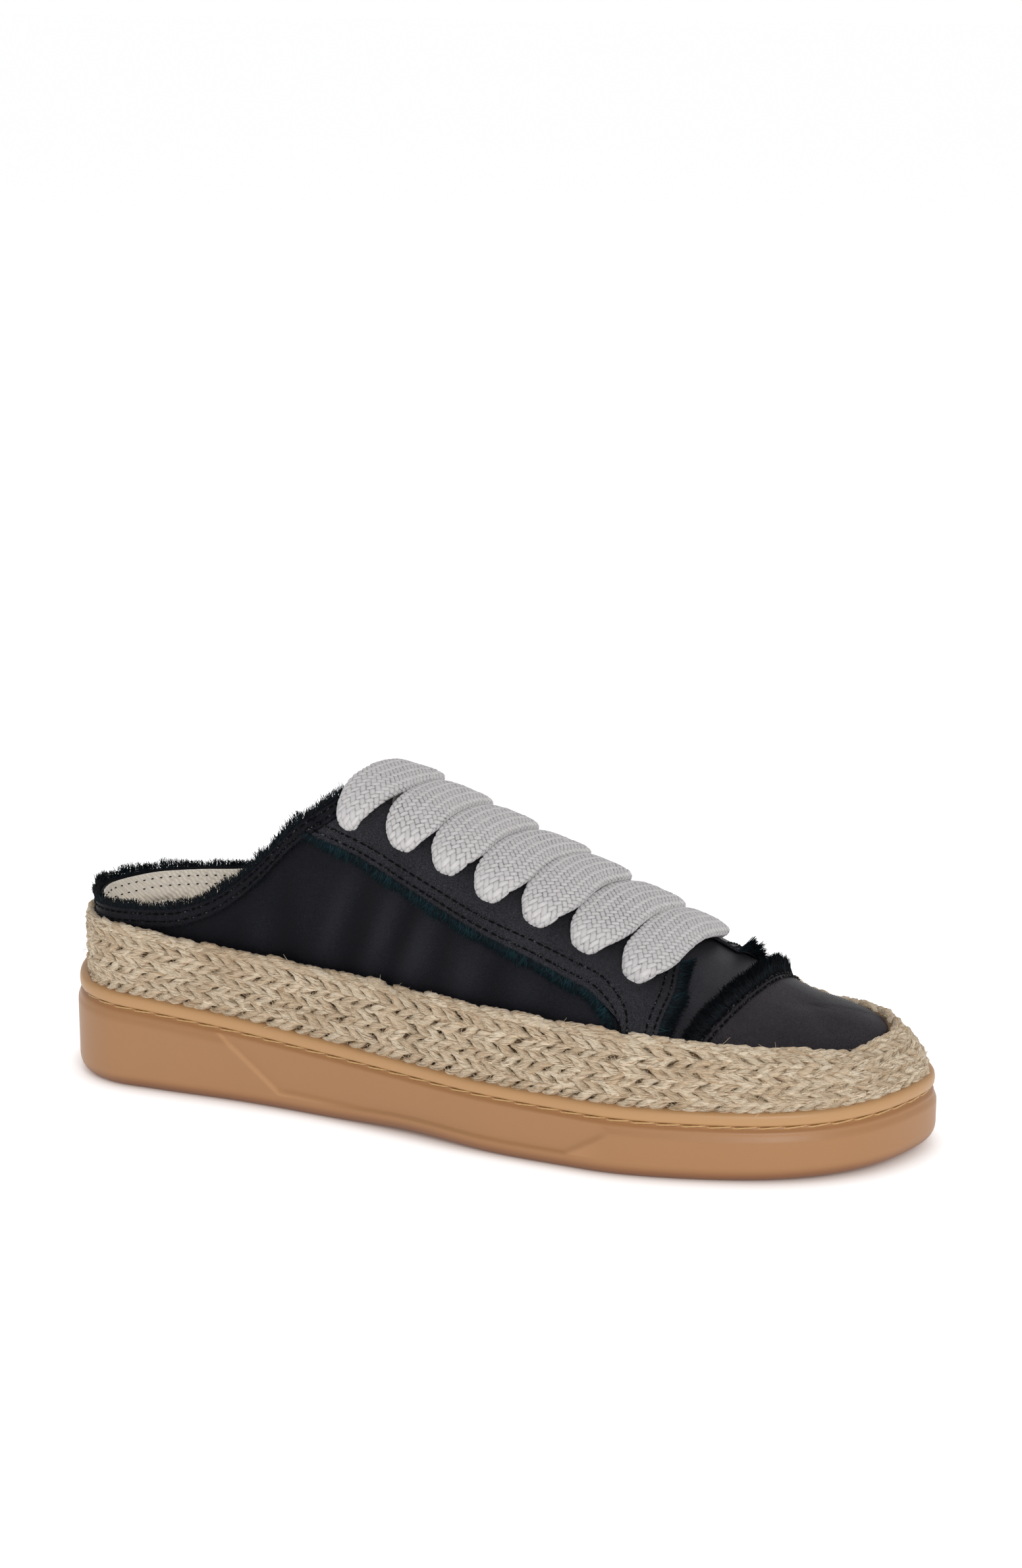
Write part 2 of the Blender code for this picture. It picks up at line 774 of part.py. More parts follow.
def cap_fringe(collection):
    """Thick frayed edge standing behind the toe cap."""
    samples = []
    turns = [k / 16 for k in range(17)]
    for side, order in ((LATERAL, turns), (MEDIAL, turns[-2::-1])):
        for turn in order:
            edge = toe_cap_edge(turn)
            rise = mix(above_jute(side, edge), 1.0, turn)
            pace = (on_last(side, edge, rise) - on_last(side, edge - 0.4, rise)).length / 0.4

            def behind(reach, lift):
                return lifted(side, edge - reach / pace, rise, lift)
            samples.append((behind(0.8, OVERLAY_GAP), behind(2.4, OVERLAY_GAP),
                            behind(CAP_FRINGE + 0.8, OVERLAY_GAP + 1.2)))
    return comb("toe_cap_fringe", samples, 1.6, collection)


def facing_fringe(side, name, collection):
    """Frayed lower edge of a facing, lying on the quarter."""
    samples = []
    for k in range(25):
        x = mix(-45.0, 51.5, k / 24)
        key = key_at(x / SOLE_LENGTH + 0.5)
        height = on_last(side, key, facing_foot(side, key)).z
        base, root, tip = (lifted(side, key, turn_at_height(side, key, height - drop), OVERLAY_GAP)
                           for drop in (0.7, 2.0, 0.7 + FACING_FRINGE))
        samples.append((base, root, tip))
    if side == LATERAL:
        samples.reverse()
    return comb(name, samples, 0.8, collection)


def tongue(collection):
    """Padded satin tongue under the lace, sewn under the vamp in front."""
    steps, across = 11, 4
    grids = []
    for side in (LATERAL, MEDIAL):
        grid = []
        for i in range(steps + 1):
            x = mix(TONGUE_REAR_X, TONGUE_FRONT_X, i / steps)
            key = key_at_ridge(x)
            rise = ease((x - TONGUE_RISE_X) / (TONGUE_FRONT_X - TONGUE_RISE_X))
            drop = mix(TONGUE_DROP, UPPER_WALL + GAP, rise)
            edge = turn_at_width(side, key, TONGUE_HALF)
            grid.append([lifted(side, key, mix(edge, 1.0, j / across), -drop)
                         for j in range(across + 1)])
        grids.append((grid, side == MEDIAL))
    return patch("tongue", grids, TONGUE_WALL, "satin", collection, -1.0)


def lace_route():
    """Centre line of the flat lace, as (point, outward normal, width, thickness)."""
    stack = OVERLAY_GAP + OVERLAY_WALL            # outer face of the facing above the last
    over = stack + GAP + LACE_THICKNESS / 2
    under = -UPPER_WALL - 3 * GAP - RETURN_THICKNESS / 2
    lateral, medial = eyelets(LATERAL), eyelets(MEDIAL)
    route = []

    def crossing(start, end, lift, arch, width, thickness, inner, count):
        """Run over the throat between two holes, along the last's own section."""
        (side_a, key_a, turn_a), (side_b, key_b, turn_b) = start, end
        ya = on_last(side_a, key_a, turn_a).y
        yb = on_last(side_b, key_b, turn_b).y
        for k in range(count + 1):
            share = mix(inner, 1 - inner, k / count)
            y = mix(ya, yb, share)
            key = mix(key_a, key_b, share)
            ridge_y = section(side_a, key)[1].y
            side = LATERAL if y < ridge_y else MEDIAL
            turn = turn_at_width(side, key, abs(y - ridge_y))
            rise = math.sin(math.pi * share)
            swell = min(1.0, 0.42 + 1.7 * rise)
            height = lift + arch * rise
            route.append((lifted(side, key, turn, height), last_normal(side, key, turn),
                          width * swell, thickness * min(1.0, 0.8 + 0.4 * rise)))

    def dive(side, key, turn, down):
        """Half turn through a hole, from above the facing to under the quarter."""
        middle = (over + under) / 2
        radius = (over - under) / 2
        normal = last_normal(side, key, turn)
        hole = on_last(side, key, turn)
        inwards = Vector((0.0, -float(side), 0.0))
        inwards = (inwards - normal * inwards.dot(normal)).normalized()
        angles = (60, 20, -20, -60) if down else (-60, -20, 20, 60)
        for degrees in angles:
            a = math.radians(degrees)
            point = hole + normal * (middle + radius * math.sin(a))
            point += inwards * radius * 0.8 * (1 - math.cos(a))
            facing_way = normal * math.sin(a) - inwards * math.cos(a)
            route.append((point, facing_way.normalized(), LACE_PINCH, RETURN_THICKNESS * 1.3))

    for k in range(LACE_BARS):
        start, end = (LATERAL, *lateral[k]), (MEDIAL, *medial[k])
        dive(*start, down=False)
        crossing(start, end, over, LACE_ARCH, LACE_WIDTH, LACE_THICKNESS, 0.10, 7)
        dive(*end, down=True)
        if k + 1 < LACE_BARS:
            back = (LATERAL, *lateral[k + 1])
            crossing(end, back, under, 0.0, RETURN_WIDTH, RETURN_THICKNESS, 0.14, 3)
    return route


def lace(collection):
    """One flat lace: seven slanting bars over the throat, straight returns under it."""
    profile = ((-0.5, 0.0), (-0.3, 0.5), (0.3, 0.5), (0.5, 0.0), (0.3, -0.5), (-0.3, -0.5))
    route = lace_route()
    bm = bmesh.new()
    loops = []
    for i, (point, normal, width, thickness) in enumerate(route):
        before, after = route[max(i - 1, 0)][0], route[min(i + 1, len(route) - 1)][0]
        along = (after - before).normalized()
        broad = normal.cross(along).normalized()
        if broad.x < 0:
            broad.negate()
        thin = along.cross(broad).normalized()
        if thin.dot(normal) < 0:
            thin.negate()
        loops.append([bm.verts.new((point + broad * (a * width) + thin * (b * thickness)) * MM)
                      for a, b in profile])
    for a, b in zip(loops, loops[1:]):
        for i in range(len(profile)):
            j = (i + 1) % len(profile)
            bm.faces.new((a[i], a[j], b[j], b[i]))
    bm.faces.new(loops[0])
    bm.faces.new(loops[-1])
    bmesh.ops.recalc_face_normals(bm, faces=bm.faces)
    return add_object("lace", bm, "lace", collection)


# --------------------------------------------------------------------- build
def main():
    for obj in list(bpy.data.objects):
        bpy.data.objects.remove(obj, do_unlink=True)
    shoe = bpy.data.collections.new("lace_up_mule")
    cutters = bpy.data.collections.new("cutters")
    for collection in (shoe, cutters):
        bpy.context.scene.collection.children.link(collection)

    outsole(shoe, cutters)
    midsole(shoe)
    insole(shoe)
    holes = {side: hole_cutters(side, cutters) for side in (LATERAL, MEDIAL)}
    upper(shoe, holes.values())
    tongue(shoe)
    toe_cap(shoe)
    cap_fringe(shoe)
    collar_band(shoe)
    for side, name in ((LATERAL, "lateral"), (MEDIAL, "medial")):
        facing(side, "facing_" + name, shoe, holes[side])
        facing_fringe(side, "facing_fringe_" + name, shoe)
    lace(shoe)


main()
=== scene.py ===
"""A backless lace-up trainer, right shoe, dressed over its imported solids.

The sections follow the shoe as it is put together: rubber cup, jute braid,
insole, upper, overlays, frayed edges and lace.  The tables are in
millimetres, heel to toe along +X, and the meshes are in metres.
"""
import math

import bmesh
import bpy
import numpy as np
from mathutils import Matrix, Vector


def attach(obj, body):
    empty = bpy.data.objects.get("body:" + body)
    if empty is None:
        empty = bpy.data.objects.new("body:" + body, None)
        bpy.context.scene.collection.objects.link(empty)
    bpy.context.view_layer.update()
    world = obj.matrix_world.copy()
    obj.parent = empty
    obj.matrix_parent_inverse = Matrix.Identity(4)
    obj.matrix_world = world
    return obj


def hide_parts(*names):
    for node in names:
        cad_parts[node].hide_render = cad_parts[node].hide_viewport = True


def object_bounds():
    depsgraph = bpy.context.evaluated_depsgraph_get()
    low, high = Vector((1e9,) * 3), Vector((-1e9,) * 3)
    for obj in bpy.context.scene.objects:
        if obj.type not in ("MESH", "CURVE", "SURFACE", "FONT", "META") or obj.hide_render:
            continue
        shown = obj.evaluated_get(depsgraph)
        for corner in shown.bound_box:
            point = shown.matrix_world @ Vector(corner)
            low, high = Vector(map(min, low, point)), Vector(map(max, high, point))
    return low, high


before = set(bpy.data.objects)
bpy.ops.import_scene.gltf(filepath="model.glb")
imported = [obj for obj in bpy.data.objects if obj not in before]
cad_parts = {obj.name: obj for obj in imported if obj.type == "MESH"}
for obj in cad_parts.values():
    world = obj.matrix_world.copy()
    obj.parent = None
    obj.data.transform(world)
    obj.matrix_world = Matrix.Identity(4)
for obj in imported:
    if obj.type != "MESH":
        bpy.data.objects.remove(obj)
cad_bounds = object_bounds()

# ------------------------------------------------------------------ studio
# The shoe stands alone on a white sweep between soft boxes, seen with a long
# lens from the outer side and a little above, turned towards the toe.
VIEW_TURN, VIEW_RISE, VIEW_DISTANCE = math.radians(22.7), math.radians(17.3), 1.05
VIEW_AIM = np.array((0.0, 0.0008, 0.03))
LENS, SENSOR = 79.5, 36.0
SHIFT_X, SHIFT_Y = 0.0143, 0.1416

back = np.array((math.sin(VIEW_TURN) * math.cos(VIEW_RISE),
                 -math.cos(VIEW_TURN) * math.cos(VIEW_RISE),
                 math.sin(VIEW_RISE)))
camera_data = bpy.data.cameras.new("camera")
camera_data.lens, camera_data.sensor_width = LENS, SENSOR
camera_data.sensor_fit = "AUTO"
camera_data.shift_x, camera_data.shift_y = SHIFT_X, SHIFT_Y
camera = bpy.data.objects.new("camera", camera_data)
camera.location = VIEW_AIM + back * VIEW_DISTANCE
camera.rotation_euler = (math.pi / 2 - VIEW_RISE, 0.0, VIEW_TURN)
bpy.context.scene.collection.objects.link(camera)
bpy.context.scene.camera = camera
bpy.context.scene.view_settings.view_transform = "Standard"

WHITE, ZENITH, ZENITH_FROM = (1.0, 1.0, 1.0), (0.30, 0.30, 0.31), 0.75
world = bpy.data.worlds.new("studio")
world.use_nodes = True
sky = world.node_tree
heading, parts, fade = (sky.nodes.new("ShaderNode" + kind)
                        for kind in ("TexCoord", "SeparateXYZ", "ValToRGB"))
fade.color_ramp.elements[0].color = (*WHITE, 1.0)
fade.color_ramp.elements[1].color = (*ZENITH, 1.0)
fade.color_ramp.elements[1].position = ZENITH_FROM
sky.links.new(heading.outputs["Generated"], parts.inputs[0])
sky.links.new(parts.outputs["Z"], fade.inputs[0])
sky.links.new(fade.outputs[0], sky.nodes["Background"].inputs["Color"])
bpy.context.scene.world = world

# Soft boxes: name, place, side of the square, watts.
SOFT_BOXES = (
    ("key_light", (0.95, -1.35, 0.9), 0.6, 14.0),
    ("top_light", (-0.3, 0.5, 1.7), 1.2, 7.0),
    ("heel_light", (-1.3, -0.7, 0.8), 0.7, 0.5),
)
for name, place, side, watts in SOFT_BOXES:
    data = bpy.data.lights.new(name, "AREA")
    data.shape, data.size, data.energy = "SQUARE", side, watts
    lamp = bpy.data.objects.new(name, data)
    lamp.location = place
    aim = VIEW_AIM - np.array(place)
    lamp.rotation_euler = (math.atan2(math.hypot(aim[0], aim[1]), -aim[2]), 0.0,
                           math.atan2(aim[1], aim[0]) - math.pi / 2)
    bpy.context.scene.collection.objects.link(lamp)


class Wire:
    """An output of a shader node; arithmetic on it adds Math nodes."""

    def __init__(self, finish, socket):
        self.finish, self.socket = finish, socket

    def __add__(self, other):
        return self.finish.math("ADD", self, other)

    def __sub__(self, other):
        return self.finish.math("SUBTRACT", self, other)

    def __rsub__(self, other):
        return self.finish.math("SUBTRACT", other, self)

    def __mul__(self, other):
        return self.finish.math("MULTIPLY", self, other)

    __radd__, __rmul__ = __add__, __mul__


class Finish:
    """A material: one Principled shader and the nodes that feed it."""

    def __init__(self, name, sockets):
        self.material = bpy.data.materials.new(name)
        self.material.use_nodes = True
        self.tree = self.material.node_tree
        self.shader = self.tree.nodes["Principled BSDF"]
        for socket, value in sockets.items():
            self.shader.inputs[socket].default_value = value

    def node(self, kind, settings, sockets, output=0):
        """Adds a node: its settings first, then the values or wires of its sockets."""
        made = self.tree.nodes.new("ShaderNode" + kind)
        for name, value in settings.items():
            if name == "stops":
                ramp = made.color_ramp.elements
                ends = [ramp[0], ramp[1]]
                ends[0].position, ends[1].position = value[0][0], value[-1][0]
                stops = [ends[0]] + [ramp.new(place) for place, _ in value[1:-1]]
                for stop, (_, colour) in zip(stops, value):
                    stop.color = (*colour, 1.0)
                ramp[len(value) - 1].color = (*value[-1][1], 1.0)
            else:
                setattr(made, name, value)
        for key, value in sockets.items():
            if isinstance(value, Wire):
                self.tree.links.new(value.socket, made.inputs[key])
            else:
                made.inputs[key].default_value = value
        return Wire(self, made.outputs[output])

    def math(self, operation, *values):
        return self.node("Math", {"operation": operation}, dict(enumerate(values)))

    def feed(self, socket, wire):
        self.tree.links.new(wire.socket, self.shader.inputs[socket])

    def place(self):
        """Where a point is on the shoe, in metres."""
        return self.node("TexCoord", {}, {}, "Object")

    def axes(self):
        """The place's x, y and z, one wire each."""
        split = self.node("SeparateXYZ", {}, {0: self.place()}).socket.node
        return [Wire(self, split.outputs[k]) for k in range(3)]

    def field(self, name):
        """A value held at the points of the mesh."""
        return self.node("Attribute", {"attribute_name": name}, {}, "Fac")

    def noise(self, scale, detail=2.0, where=None):
        sockets = {"Vector": where or self.place(), "Scale": scale, "Detail": detail}
        return self.node("TexNoise", {}, sockets)

    def ramp(self, value, *stops):
        return self.node("ValToRGB", {"stops": stops}, {0: value})

    def blend(self, share, first, second):
        colours = [c if isinstance(c, Wire) else (*c, 1.0) for c in (first, second)]
        return self.node("Mix", {"data_type": "RGBA"}, {0: share, 6: colours[0], 7: colours[1]}, 2)

    def bump(self, height, depth):
        """Relief of a given depth in metres."""
        self.feed("Normal", self.node("Bump", {}, {"Height": height, "Distance": depth}))


# The sweep glows almost to white; ambient occlusion dims its glow where the sole meets it, a painted contact
# shadow.
SWEEP_DULL, SWEEP_BRIGHT, SWEEP_GLOW = (0.59, 0.59, 0.59), (0.61, 0.61, 0.61), 0.72
CONTACT_SHADOW_REACH = 0.012             # in metres
CONTACT_SHADOW_STOPS = ((0.0, (0.10, 0.05, 0.03)), (0.45, (0.66, 0.58, 0.54)), (0.8, WHITE))
FLOOR_REACH = 12.0                # in metres

sweep = Finish("white_sweep", {"Roughness": 0.9, "Specular IOR Level": 0.1,
                               "Emission Color": (*WHITE, 1.0), "Emission Strength": SWEEP_GLOW})
sweep.feed("Base Color", sweep.ramp(sweep.noise(0.6), (0.0, SWEEP_DULL), (1.0, SWEEP_BRIGHT)))
# Painted contact shadow: the glow dims with occlusion near the sole.
shade = sweep.node("AmbientOcclusion", {}, {"Distance": CONTACT_SHADOW_REACH}, "AO")
sweep.feed("Emission Color", sweep.ramp(shade, *CONTACT_SHADOW_STOPS))
corners = [(x * FLOOR_REACH, y * FLOOR_REACH, 0.0) for x, y in ((-1, -1), (1, -1), (1, 1), (-1, 1))]
floor_mesh = bpy.data.meshes.new("floor")
floor_mesh.from_pydata(corners, [], [(0, 1, 2, 3)])
floor_mesh.materials.append(sweep.material)
floor = bpy.data.objects.new("floor", floor_mesh)
bpy.context.scene.collection.objects.link(floor)

# ----------------------------------------------------------------- outsole
# A cup of moulded gum rubber: rounded foot edge, upright wall with a shallow
# panel sunk at each side of the waist, a stitched groove and a paler bead
# above it.  Wavy grip grooves are cut into the underside.
MM = 0.001
LATERAL, MEDIAL = -1, 1
SOLE_LENGTH = (cad_bounds[1][0] - cad_bounds[0][0]) / MM
HEEL_TIP_Y, TOE_TIP_Y = 0.8, 9.2

# Outline of the sole: station (0 heel, 1 toe), lateral and medial half width.
OUTLINE = (
    (0.03, 21.4, 20.8),
    (0.08, 31.4, 29.8),
    (0.15, 33.0, 34.4),
    (0.25, 33.4, 35.4),
    (0.35, 36.0, 35.0),
    (0.45, 40.6, 35.8),
    (0.55, 46.1, 39.8),
    (0.65, 48.9, 46.4),
    (0.72, 49.4, 49.6),
    (0.80, 45.2, 48.8),
    (0.88, 37.6, 44.2),
    (0.94, 26.6, 35.6),
    (0.98, 11.6, 25.4),
)

# Levels up the side of the sole: station, stitch groove, top of the rubber,
# top of the jute, and how far the jute has leaned in at its top.
LEVELS = (
    (0.00, 27.3, 31.9, 50.4, 5.3),
    (0.06, 26.32, 30.85, 51.3, 5.0),
    (0.16, 24.6, 29.0, 48.6, 5.4),
    (0.35, 20.5, 24.8, 45.1, 6.4),
    (0.525, 18.1, 22.1, 43.1, 6.5),
    (0.685, 17.1, 21.3, 41.6, 7.0),
    (0.827, 16.7, 21.0, 39.0, 8.8),
    (0.92, 17.0, 21.4, 36.3, 11.3),
    (1.00, 18.3, 22.8, 34.6, 13.2),
)
GROOVE, RUBBER_TOP, JUTE_TOP, JUTE_LEAN = 1, 2, 3, 4

TOE_SPRING, TOE_SPRING_START = 2.0, 0.78
HEEL_BEVEL, HEEL_BEVEL_END = 1.0, 0.05
ARCH_RISE, ARCH_START, ARCH_END = 1.2, 0.34, 0.60
SOLE_EDGE_RADIUS, SOLE_EDGE_ROWS = 5.0, 9
UNDERSIDE_RIM = 4.0               # flat rim between the rounded edge and the grip
SHOULDER, SHOULDER_DROP, SHOULDER_REACH = 0.9, 4.5, 3.0      # the wall draws in below the groove
WALL_ROWS, WALL_TOP_DROP = 23, 1.5
GROOVE_DEPTH, BEAD_FOOT = 1.7, 1.2
# Section of the groove: inset, height from its middle.
GROOVE_PROFILE = (
    (1.3, -1.1),
    (GROOVE_DEPTH, -0.75),
    (GROOVE_DEPTH + 0.5, -0.25),
    (GROOVE_DEPTH + 0.5, 0.25),
    (1.5, 0.6),
    (1.05, 0.85),
    (0.8, BEAD_FOOT),
)
# Section of the bead: share of its height, inset.
BEAD_PROFILE = (
    (0.30, 0.70),
    (0.55, 0.74),
    (0.75, 0.90),
    (0.88, 1.2),
    (0.95, 1.65),
    (0.99, 2.4),
    (1.0, 3.3),
    (1.0, 8.0),
)

# The sunk panel: station, lower and upper edge above the floor.
PANEL = (
    (0.214, 24.3, 24.7),
    (0.303, 5.6, 22.8),
    (0.50, 3.9, 18.4),
    (0.66, 4.0, 16.4),
    (0.715, 12.6, 15.7),
)
PANEL_DEPTH = 1.0
PANEL_EDGE, PANEL_FOOT_EDGE = 1.2, 2.4               # how softly its edges ease in
PANEL_REAR, PANEL_SLANT, PANEL_FRONT = 0.006, 0.02, 0.02      # the same along the sole, as stations
HIGHLIGHT_LINE, HIGHLIGHT_FOOT = 0.75, 1.6                 # widths of the painted highlight strips

GRIP_PITCH, GRIP_WIDTH, GRIP_SOFT, GRIP_DEPTH = 9.0, 0.30, 0.09, 1.1
GRIP_WAVE, GRIP_WAVE_RUN, GRIP_MARGIN = 3.0, 6.0, 9.0

GUM, GUM_BEAD, GUM_CLOUD = (0.350, 0.175, 0.073), (0.470, 0.268, 0.118), (0.335, 0.163, 0.064)
# The next line holds two painted colours: a lighter gum painted as highlight on the panel's edges, and a dark
# red-brown painted as shade under the rounded foot edge.
GUM_PAINTED_HIGHLIGHT, GUM_PAINTED_SHADE = (0.52, 0.29, 0.135), (0.15, 0.05, 0.018)


def smooth(table, column, at):
    """Cubic curve through a table's rows, read at an array of keys."""
    knots = np.array([row[0] for row in table], float)
    values = np.array([row[column] for row in table], float)
    slopes = np.gradient(values, knots)
    slopes[1:-1] = (values[2:] - values[:-2]) / (knots[2:] - knots[:-2])
    at = np.clip(at, knots[0], knots[-1])
    i = np.clip(np.searchsorted(knots, at, side="right") - 1, 0, len(knots) - 2)
    span = knots[i + 1] - knots[i]
    t = (at - knots[i]) / span
    return (values[i] * (1 - t) ** 2 * (1 + 2 * t) + values[i + 1] * t * t * (3 - 2 * t)
            + span * t * (1 - t) * (slopes[i] * (1 - t) - slopes[i + 1] * t))


def ease(t):
    t = np.clip(t, 0.0, 1.0)
    return t * t * (3 - 2 * t)


def mix(a, b, t):
    return a + (b - a) * t


def unit(vectors):
    return vectors / np.maximum(np.linalg.norm(vectors, axis=-1, keepdims=True), 1e-12)


END_KEY = len(OUTLINE) + 1        # outline keys run from 0 at the heel to this


def outline_controls(side):
    """Control points of one side, with one past each tip from the other side."""
    column = 1 if side == LATERAL else 2
    other = 3 - column
    points = [((row[0] - 0.5) * SOLE_LENGTH, side * row[column]) for row in OUTLINE]
    first, last = OUTLINE[0], OUTLINE[-1]
    return np.array([((first[0] - 0.5) * SOLE_LENGTH, -side * first[other]),
                     (-SOLE_LENGTH / 2, HEEL_TIP_Y), *points, (SOLE_LENGTH / 2, TOE_TIP_Y),
                     ((last[0] - 0.5) * SOLE_LENGTH, -side * last[other])])


def outline_side(side, key):
    controls = outline_controls(side)
    i = np.clip(key.astype(int), 0, END_KEY - 1)
    t = (key - i)[..., None]
    a, b, c, d = (controls[i + k] for k in range(4))
    return 0.5 * (2 * b + (c - a) * t + (2 * a - 5 * b + 4 * c - d) * t * t
                  + (3 * b - a - 3 * c + d) * t ** 3)


FINE_KEYS = np.linspace(0.0, END_KEY, 2801)
FINE = {}
for side in (LATERAL, MEDIAL):
    points = outline_side(side, FINE_KEYS)
    along = np.gradient(points, axis=0)
    along[0], along[-1] = (0.0, side), (0.0, -side)
    inward = unit(np.stack((-along[:, 1], along[:, 0]), axis=-1)) * -side
    FINE[side] = np.concatenate((points, inward), axis=1)
FINE_STATION = FINE[LATERAL][:, 0] / SOLE_LENGTH + 0.5


def outline(side, key, inset):
    """Plan point of the sole, moved inwards square to the outline."""
    read = [np.where(side == LATERAL, np.interp(key, FINE_KEYS, FINE[LATERAL][:, c]),
                     np.interp(key, FINE_KEYS, FINE[MEDIAL][:, c])) for c in range(4)]
    return read[0] + read[2] * inset, read[1] + read[3] * inset


def station(key):
    return np.interp(key, FINE_KEYS, FINE_STATION)


def key_at(wanted):
    return np.interp(wanted, FINE_STATION, FINE_KEYS)


def level(column, key):
    return smooth(LEVELS, column, station(key))


def floor_rise(key):
    """Height of the underside: toe spring, arch and heel bevel."""
    s = station(key)
    toe = TOE_SPRING * (np.clip(s - TOE_SPRING_START, 0, None) / (1 - TOE_SPRING_START)) ** 2
    heel = HEEL_BEVEL * (np.clip(HEEL_BEVEL_END - s, 0, None) / HEEL_BEVEL_END) ** 2
    arch = np.clip((s - ARCH_START) / (ARCH_END - ARCH_START), 0.0, 1.0)
    return toe + heel + ARCH_RISE * np.sin(math.pi * arch) ** 2


LOOP_KEYS = np.concatenate((FINE_KEYS, FINE_KEYS[::-1][1:]))
LOOP_POINTS = np.concatenate((FINE[LATERAL][:, :2], FINE[MEDIAL][::-1][1:, :2]))


def run_along(points):
    """Length of a curve up to each of its points."""
    return np.concatenate(((0.0,), np.cumsum(np.linalg.norm(np.diff(points, axis=0), axis=1))))


LOOP_LENGTHS = run_along(LOOP_POINTS)
LOOP_LENGTH = LOOP_LENGTHS[-1]


def round_the_sole(run):
    """Side and outline key at a run: heel to toe along the outer side, and back."""
    place = np.interp(np.mod(run, LOOP_LENGTH), LOOP_LENGTHS, np.arange(len(LOOP_KEYS)))
    middle = len(FINE_KEYS) - 1
    side = np.where(place <= middle, LATERAL, MEDIAL)
    return side, np.interp(place, np.arange(len(LOOP_KEYS)), LOOP_KEYS)


def grid_faces(rows, columns, close_columns=False, start=0):
    """Quads of a grid of points held row by row."""
    i = np.arange(rows - 1)[:, None]
    j = np.arange(columns if close_columns else columns - 1)[None, :]
    k, m = i + 1, (j + 1) % columns
    quads = np.stack([a * columns + b for a, b in ((i, j), (k, j), (k, m), (i, m))], axis=-1)
    return quads.reshape(-1, 4) + start


def spanned(ring, columns):
    """A grid across a closed ring, from the heel tip to the toe tip."""
    half = np.arange(len(ring) // 2 + 1)
    near, far = ring[half], ring[np.mod(-half, len(ring))]
    return mix(near[:, None], far[:, None], np.linspace(0.0, 1.0, columns)[None, :, None])


def closed_rings(rings, below, above):
    """Points and faces of stacked rings, closed by a grid below and one above."""
    blocks = (rings, below, above)
    starts = np.cumsum([0] + [block.shape[0] * block.shape[1] for block in blocks])
    faces = [grid_faces(*rings.shape[:2], close_columns=True)[:, ::-1],
             grid_faces(*below.shape[:2], start=starts[1]),
             grid_faces(*above.shape[:2], start=starts[2])[:, ::-1]]
    return np.concatenate([block.reshape(-1, 3) for block in blocks]), faces


def piece(name, points, faces, finish, replaces=(), fields=None):
    """A mesh that rides on the shoe; fields are values held at its points."""
    mesh = bpy.data.meshes.new(name)
    blocks = faces if isinstance(faces, list) else [faces]
    mesh.from_pydata((points.reshape(-1, 3) * MM).tolist(), [],
                     [face for block in blocks for face in block.tolist()])
    for field, values in (fields or {}).items():
        held_values = mesh.attributes.new(field, "FLOAT", "POINT").data
        held_values.foreach_set("value", values.ravel().astype(np.float32))
    mesh.materials.append(finish.material)
    mesh.polygons.foreach_set("use_smooth", [True] * len(mesh.polygons))
    mesh.update()
    made = bpy.data.objects.new(name, mesh)
    bpy.context.scene.collection.objects.link(made)
    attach(made, "root")
    if replaces:
        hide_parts(*replaces)
    return made


def panel_edges(key):
    """Lower and upper edge of the panel, and 1 along its slanted rear edge."""
    s = station(key)
    low, high = (np.interp(s, [row[0] for row in PANEL], [row[c] for row in PANEL]) for c in (1, 2))
    return low, high, 1 - ease((s - PANEL[1][0] + 0.004) / PANEL_SLANT)


def panel_share(key, height):
    """1 inside the sunk panel, easing to 0 over its soft edge."""
    s = station(key)
    low, high, slant = panel_edges(key)
    ends = ease((s - PANEL[0][0]) / PANEL_REAR) * ease((PANEL[-1][0] - s) / PANEL_FRONT)
    return (ends * ease((height - low) / mix(PANEL_FOOT_EDGE, PANEL_EDGE, slant))
            * ease((high - height) / PANEL_EDGE))


def painted_highlight(key, height):
    """Painted highlight on the gum: the slanted edge and the foot below the panel, lighter where they would
    catch the light.
    """
    s = station(key)
    low, _, slant = panel_edges(key)
    line = np.exp(-((height - low - 0.3) / HIGHLIGHT_LINE) ** 2) * slant * ease((s - PANEL[0][0]) / 0.01)
    foot = (1 - ease((height - low) / HIGHLIGHT_FOOT)) * (1 - slant) * ease((PANEL[-1][0] - s) / 0.06)
    return line * 0.9 + foot * 0.5


SOLE_POINTS, BOTTOM_COLUMNS = 1000, 27
run = np.arange(SOLE_POINTS) / SOLE_POINTS * LOOP_LENGTH
side, key = round_the_sole(run)
rise, groove, top = floor_rise(key), level(GROOVE, key), level(RUBBER_TOP, key)
rings = [(np.full_like(key, SOLE_EDGE_RADIUS + UNDERSIDE_RIM), rise)]
for turn in np.radians(np.linspace(0, 90, SOLE_EDGE_ROWS)):
    rings.append((np.full_like(key, SOLE_EDGE_RADIUS * (1 - math.sin(turn))),
                  rise + SOLE_EDGE_RADIUS * (1 - math.cos(turn))))
wall_rings = len(rings)
for k in range(1, WALL_ROWS + 1):
    height = mix(rise + SOLE_EDGE_RADIUS, groove - WALL_TOP_DROP, k / WALL_ROWS)
    shoulder = SHOULDER * ease((height - groove + SHOULDER_DROP) / SHOULDER_REACH)
    rings.append((np.maximum(PANEL_DEPTH * panel_share(key, height), shoulder), height))
rings += [(np.full_like(key, inset), groove + rise_by) for inset, rise_by in GROOVE_PROFILE]
rings += [(np.full_like(key, inset), mix(groove + BEAD_FOOT, top, share)) for share, inset in BEAD_PROFILE]
wall = np.stack([np.stack((*outline(side, key, inset), height), axis=-1) for inset, height in rings])
bottom = spanned(wall[0], BOTTOM_COLUMNS)
across = np.linspace(0.0, 1.0, BOTTOM_COLUMNS)[None, :]
